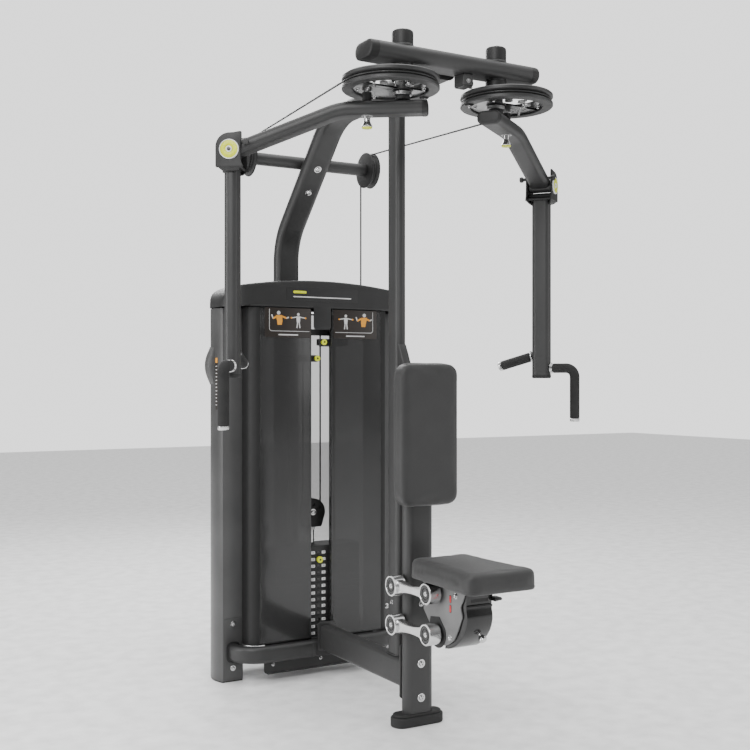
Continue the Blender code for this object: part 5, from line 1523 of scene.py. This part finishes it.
def make_carriage():
    parts = []
    for way in (-1, 1):
        holes = []
        for level in LINKS.values():
            holes.append(circle((LINK_FRONT_Y, level + LINK_RISE), 0.0145, 24))
        parts.append(slab("carriage_cheek", [carriage_outline()] + holes, X_AXIS, Y_AXIS,
                          (way * (CARRIAGE_HALF - 0.0025), 0, 0), 0.005, SATIN_GREY, 0.0010))
        for level in LINKS.values():
            parts.append(lathe("carriage_boss", [(0.0128, 0), (0.0190, 0), (0.0190, 0.0055),
                                                 (0.0175, 0.0068), (0.0128, 0.0068), (0.0128, 0)],
                               (way * CARRIAGE_HALF, LINK_FRONT_Y, level + LINK_RISE), (way, 0, 0),
                               CAP, 36))
        guard = arc((LINK_FRONT_Y, LINKS["lower_link"] + LINK_RISE), 0.0425, 150, 300, 18)
        guard += [(-0.165, 0.3140), (-0.152, 0.3420), (-0.160, 0.3700), (-0.205, 0.3760)]
        parts.append(slab("carriage_guard", [guard], X_AXIS, Y_AXIS,
                          (way * (CARRIAGE_HALF + 0.0012), 0, 0), 0.0030, CAP, 0.0008))
        for y, z in ((-0.290, 0.452), (-0.262, 0.325)):
            parts.append(bolt((way * CARRIAGE_HALF, y, z), (way, 0, 0), 0.0065, 0.0090))
        for z in (0.438, 0.410):
            slot = rounded_rect(0.0075, 0.020, 0.0028, 5)
            parts.append(slab("red_mark", [slot], X_AXIS, Y_AXIS, (way * (CARRIAGE_HALF + 0.0004),
                                                                   -0.263, z), 0.0016, RED, 0.0004))
            parts.append(slab("red_slot", [rounded_rect(0.0105, 0.023, 0.0035, 5)], X_AXIS, Y_AXIS,
                              (way * CARRIAGE_HALF, -0.263, z), 0.0014, GLOSS, 0.0002))
    parts.append(block("carriage_top", (-CARRIAGE_HALF + 0.004, -0.334, CARRIAGE_TOP - 0.0075),
                       (CARRIAGE_HALF - 0.004, -0.1185, CARRIAGE_TOP), SATIN_GREY, 0.0015))
    place(join("carriage_finished", parts), "seat", "frame_steel", "seat_carriage")


def make_belly():
    """The glossy cover under the seat, with a ledge and a slot near its top."""
    half = 0.0445
    line = [(-0.226, 0.289), (-0.244, 0.2915), (-0.262, 0.297), (-0.281, 0.307), (-0.298, 0.320),
            (-0.313, 0.335), (-0.326, 0.352), (-0.334, 0.369), (-0.3385, 0.387), (-0.338, 0.400),
            (-0.3345, 0.412), (-0.3335, 0.430), (-0.3365, 0.450), (-0.341, 0.470)]
    parts = [slab("belly", [strip(line, 0.0045)], X_AXIS, Y_AXIS, (0, 0, 0), 2 * half, GLOSS, 0.001)]
    for way in (-1, 1):
        rim = line + [(-0.326, 0.470), (-0.320, 0.452), (-0.310, 0.428), (-0.314, 0.400),
                      (-0.288, 0.346), (-0.262, 0.316), (-0.230, 0.303)]
        parts.append(slab("belly_cheek", [rim], X_AXIS, Y_AXIS, (way * (half - 0.0015), 0, 0), 0.003,
                          GLOSS, 0.0008))
    parts.append(block("belly_ledge", (-half + 0.002, -0.3440, 0.4225), (half - 0.002, -0.330, 0.4295),
                       GLOSS, 0.002))
    parts.append(block("belly_slot", (-0.030, -0.3385, 0.438), (0.030, -0.332, 0.450), CAP, 0.001))
    place(join("belly_finished", parts), "seat", "black_plastic", "belly_cover")
    knob = lathe("seat_knob", [(0, 0), (0.0065, 0), (0.0065, 0.010), (0.0095, 0.013), (0.0120, 0.019),
                               (0.0115, 0.0255), (0.0085, 0.0285), (0, 0.029)],
                 (0.012, -0.318, 0.3435), (0.1, -0.72, -0.69), CHROME, 36)
    place(knob, "seat", "chrome")


def make_lever():
    outline = [(0.0528, -0.3515), (0.066, -0.3515), (0.0715, -0.349), (0.074, -0.3435),
               (0.074, -0.3185), (0.0715, -0.313), (0.066, -0.3105), (0.0528, -0.3105)]
    plate_part = standing("lever", outline, 0.4382, 0.4460, GLOSS, 0.0022)
    rib = slab("lever_rib", [rounded_rect(0.016, 0.026, 0.006, 5, (0.0635, -0.331))], Z_AXIS, X_AXIS,
               (0, 0, 0.4378), 0.0022, CAP, 0.0006)
    place(join("lever_finished", [plate_part, rib]), "seat_lever", "black_plastic", "seat_lever")
    hinge = rod("lever_hinge", (0.0522, -0.3525, 0.442), (0.0522, -0.3095, 0.442), 0.0046, CAP)
    ear = block("lever_ear", (0.0445, -0.352, 0.4370), (0.0500, -0.310, 0.4480), CAP, 0.001)
    place(join("lever_mount", [hinge, ear]), "seat", "black_plastic")


PAD_HALF, PAD_LOW, PAD_HIGH = 0.107, 0.685, 1.127
PUFF_PRESSURE, PUFF_LIMIT = 2.0, 0.0022
CLOTH_FRAMES, VOXEL = 20, 0.0055


def inflate(pad, pressure, cap, held):
    """Puffs a pad up by cloth simulation; points for which held(co) is true stay put."""
    remesh = pad.modifiers.new("voxels", "REMESH")
    remesh.mode = "VOXEL"
    remesh.voxel_size = VOXEL
    mesh = baked(pad)
    pad.modifiers.clear()
    surface = pad.data.materials[0]
    pad.data = mesh
    mesh.materials.clear()
    mesh.materials.append(surface)
    rest = [vertex.co.copy() for vertex in mesh.vertices]
    pinned = pad.vertex_groups.new(name="pinned")
    pinned.add([i for i, co in enumerate(rest) if held(co)], 1.0, "REPLACE")
    cloth = pad.modifiers.new("cloth", "CLOTH")
    cloth.settings.use_pressure = True
    cloth.settings.uniform_pressure_force = pressure
    cloth.settings.effector_weights.gravity = 0.0
    cloth.settings.vertex_group_mass = "pinned"
    cloth.settings.quality = 6
    cloth.settings.tension_stiffness = 18
    cloth.settings.compression_stiffness = 18
    cloth.settings.bending_stiffness = 0.6
    cloth.point_cache.frame_start, cloth.point_cache.frame_end = 1, CLOTH_FRAMES
    scene = bpy.context.scene
    for step in range(1, CLOTH_FRAMES + 1):
        scene.frame_set(step)
    graph = bpy.context.evaluated_depsgraph_get()
    puffed = pad.evaluated_get(graph).to_mesh()
    for vertex, start, end in zip(mesh.vertices, rest, [v.co.copy() for v in puffed.vertices]):
        move = end - start
        if move.length > cap:
            move = move.normalized() * cap
        vertex.co = start + move
    pad.modifiers.clear()
    pad.vertex_groups.clear()
    scene.frame_set(1)
    soft = pad.modifiers.new("soft", "SMOOTH")
    soft.factor, soft.iterations = 0.5, 4
    finer = pad.modifiers.new("finer", "SUBSURF")
    finer.levels = finer.render_levels = 1
    mesh = baked(pad)
    pad.modifiers.clear()
    pad.data = mesh
    mesh.materials.clear()
    mesh.materials.append(surface)
    mesh.shade_smooth()


def on_skin(pad, points, toward):
    """Each point moved along a line towards the pad until it meets its skin."""
    spots = []
    for point, way in zip(points, toward):
        start = Vector(point) - Vector(way) * 0.08
        found, spot, _, _ = pad.ray_cast(start, Vector(way).normalized())
        spots.append(spot if found else Vector(point))
    return spots


def piping(name, spots, radius, surface):
    """A closed welt cord along the skin."""
    loops = []
    total = len(spots)
    for index, point in enumerate(spots):
        way = (spots[(index + 1) % total] - spots[index - 1]).normalized()
        basis = frame_for(way)
        loops.append([point + basis @ Vector((x, y, 0)) for x, y in circle((0, 0), radius, 10)])
    return rings(name, loops, surface, cap=False, closed=True, angle=180)


def seat_outline(inset):
    rear, front = -0.115, -0.460
    half_rear, half_front = 0.103, 0.120
    long = rear - front
    points = []
    for x, y in rounded_rect(2 * (half_rear - inset), long - 2 * inset, 0.022, 10,
                             (0, (rear + front) / 2)):
        wide = 1 + (rear - y) * (half_front - half_rear) / long / half_rear
        points.append((x * wide, y))
    return points


def back_outline(inset):
    return rounded_rect(2 * (PAD_HALF - inset), PAD_HIGH - PAD_LOW - 2 * inset, 0.038 - inset, 12,
                        (0, (PAD_LOW + PAD_HIGH) / 2))


def make_seat_pad():
    bottom = 0.4822
    steps = ((0.0, 0.0030), (0.002, 0.0018), (0.028, 0.0018), (0.048, 0.0018), (0.0545, 0.0036),
             (0.0580, 0.0075), (0.0590, 0.0130))
    pad = rings("seat_cushion", [[(x, y, bottom + z) for x, y in seat_outline(inset)]
                                 for z, inset in steps], VINYL)
    inflate(pad, PUFF_PRESSURE, PUFF_LIMIT, lambda co: co.z < bottom + 0.006)
    place(pad, "seat", "upholstery", "seat_pad")
    edge = seat_outline(0.0)
    center = Vector((0, -0.2875))
    parts = []
    level = bottom + 0.009
    points = [(x, y, level) for x, y in edge]
    ways = [Vector((center.x - x, center.y - y, 0)).normalized() for x, y in edge]
    parts.append(piping("seat_welt", on_skin(pad, points, ways), 0.0013, VINYL))
    board = standing("seat_board", seat_outline(0.012), bottom - 0.0006, bottom + 0.004, CAP, 0.0008)
    place(join("seat_trim", parts + [board]), "seat", "upholstery")


def make_back_pad():
    rear = -0.0253
    steps = ((0.0, 0.0120), (0.002, 0.0085), (0.0045, 0.0060), (0.010, 0.0032), (0.018, 0.0018),
             (0.030, 0.0018), (0.045, 0.0018), (0.0520, 0.0036), (0.0555, 0.0075), (0.0566, 0.0130))
    pad = rings("back_cushion", [[(x, rear - y, z) for x, z in back_outline(inset)]
                                 for y, inset in steps], VINYL)
    inflate(pad, PUFF_PRESSURE, PUFF_LIMIT, lambda co: co.y > rear - 0.006)
    place(pad, "frame", "upholstery", "back_pad")
    edge = back_outline(0.0)
    center_z = (PAD_LOW + PAD_HIGH) / 2
    points = [(x, rear - 0.009, z) for x, z in edge]
    ways = [Vector((-x, 0, center_z - z)).normalized() for x, z in edge]
    welt = piping("back_welt", on_skin(pad, points, ways), 0.0013, VINYL)
    board = slab("back_board", [back_outline(0.020)], (0, -1, 0), X_AXIS, (0, rear - 0.002, 0), 0.0035,
                 CAP, 0.0008)
    place(join("back_trim", [welt, board]), "frame", "upholstery")


make_links()
make_carriage()
make_belly()
make_lever()
make_seat_pad()
make_back_pad()


# ------------------------------------------------------------ stage, light and camera

def make_stage():
    ground = block("floor", (-14, -14, -0.02), (14, 14, 0.0), FLOOR, 0.001)


FLOOR = moulded("floor_paint", grey(250), 0.6, 30.0, 0.00005)
make_stage()


def area(name, place_at, aim, size, power):
    """A rectangular studio light aimed at a point."""
    data = bpy.data.lights.new(name, "AREA")
    data.shape = "RECTANGLE"
    data.size, data.size_y = size
    data.energy = power
    lamp = bpy.data.objects.new(name, data)
    lamp.location = place_at
    lamp.rotation_euler = (Vector(aim) - Vector(place_at)).to_track_quat("-Z", "Y").to_euler()
    bpy.context.scene.collection.objects.link(lamp)


BACKDROP, AMBIENT = 1.75, 0.30
CENTER = (0.0, 0.3, 1.0)
area("key", (-3.4, -2.6, 3.6), CENTER, (2.2, 2.2), 112)
area("fill", (3.6, -3.0, 2.2), CENTER, (2.6, 2.6), 32)
area("rim", (0.6, 3.6, 3.4), CENTER, (2.5, 1.5), 110)
area("top", (0.0, 0.2, 4.6), CENTER, (3.0, 3.0), 62)
area("left", (-4.2, 1.0, 1.6), (0.0, 0.6, 0.8), (1.6, 2.6), 70)
glow = bpy.data.lights.new("soft_sky", "SUN")
glow.energy = 2.3
glow.angle = math.radians(120)
sky = bpy.data.objects.new("soft_sky", glow)
bpy.context.scene.collection.objects.link(sky)

world = bpy.data.worlds.new("studio")
bpy.context.scene.world = world
world.use_nodes = True
web = world.node_tree
seen = web.nodes["Background"]
seen.inputs["Color"].default_value = (1, 1, 1, 1)
seen.inputs["Strength"].default_value = BACKDROP
light = web.nodes.new("ShaderNodeBackground")
light.inputs["Color"].default_value = (1, 1, 1, 1)
light.inputs["Strength"].default_value = AMBIENT
ray = web.nodes.new("ShaderNodeLightPath")
either = web.nodes.new("ShaderNodeMixShader")
web.links.new(ray.outputs["Is Camera Ray"], either.inputs["Fac"])
web.links.new(light.outputs["Background"], either.inputs[1])
web.links.new(seen.outputs["Background"], either.inputs[2])
web.links.new(either.outputs["Shader"], web.nodes["World Output"].inputs["Surface"])

lens = bpy.data.cameras.new("camera")
lens.lens = 52.74
lens.sensor_width = 36.0
lens.shift_y = 0.0071
eye = bpy.data.objects.new("camera", lens)
eye.location = (-1.830, -2.916, 1.073)
eye.rotation_euler = (math.radians(90), 0, math.radians(-29.93))
bpy.context.scene.collection.objects.link(eye)
bpy.context.scene.camera = eye
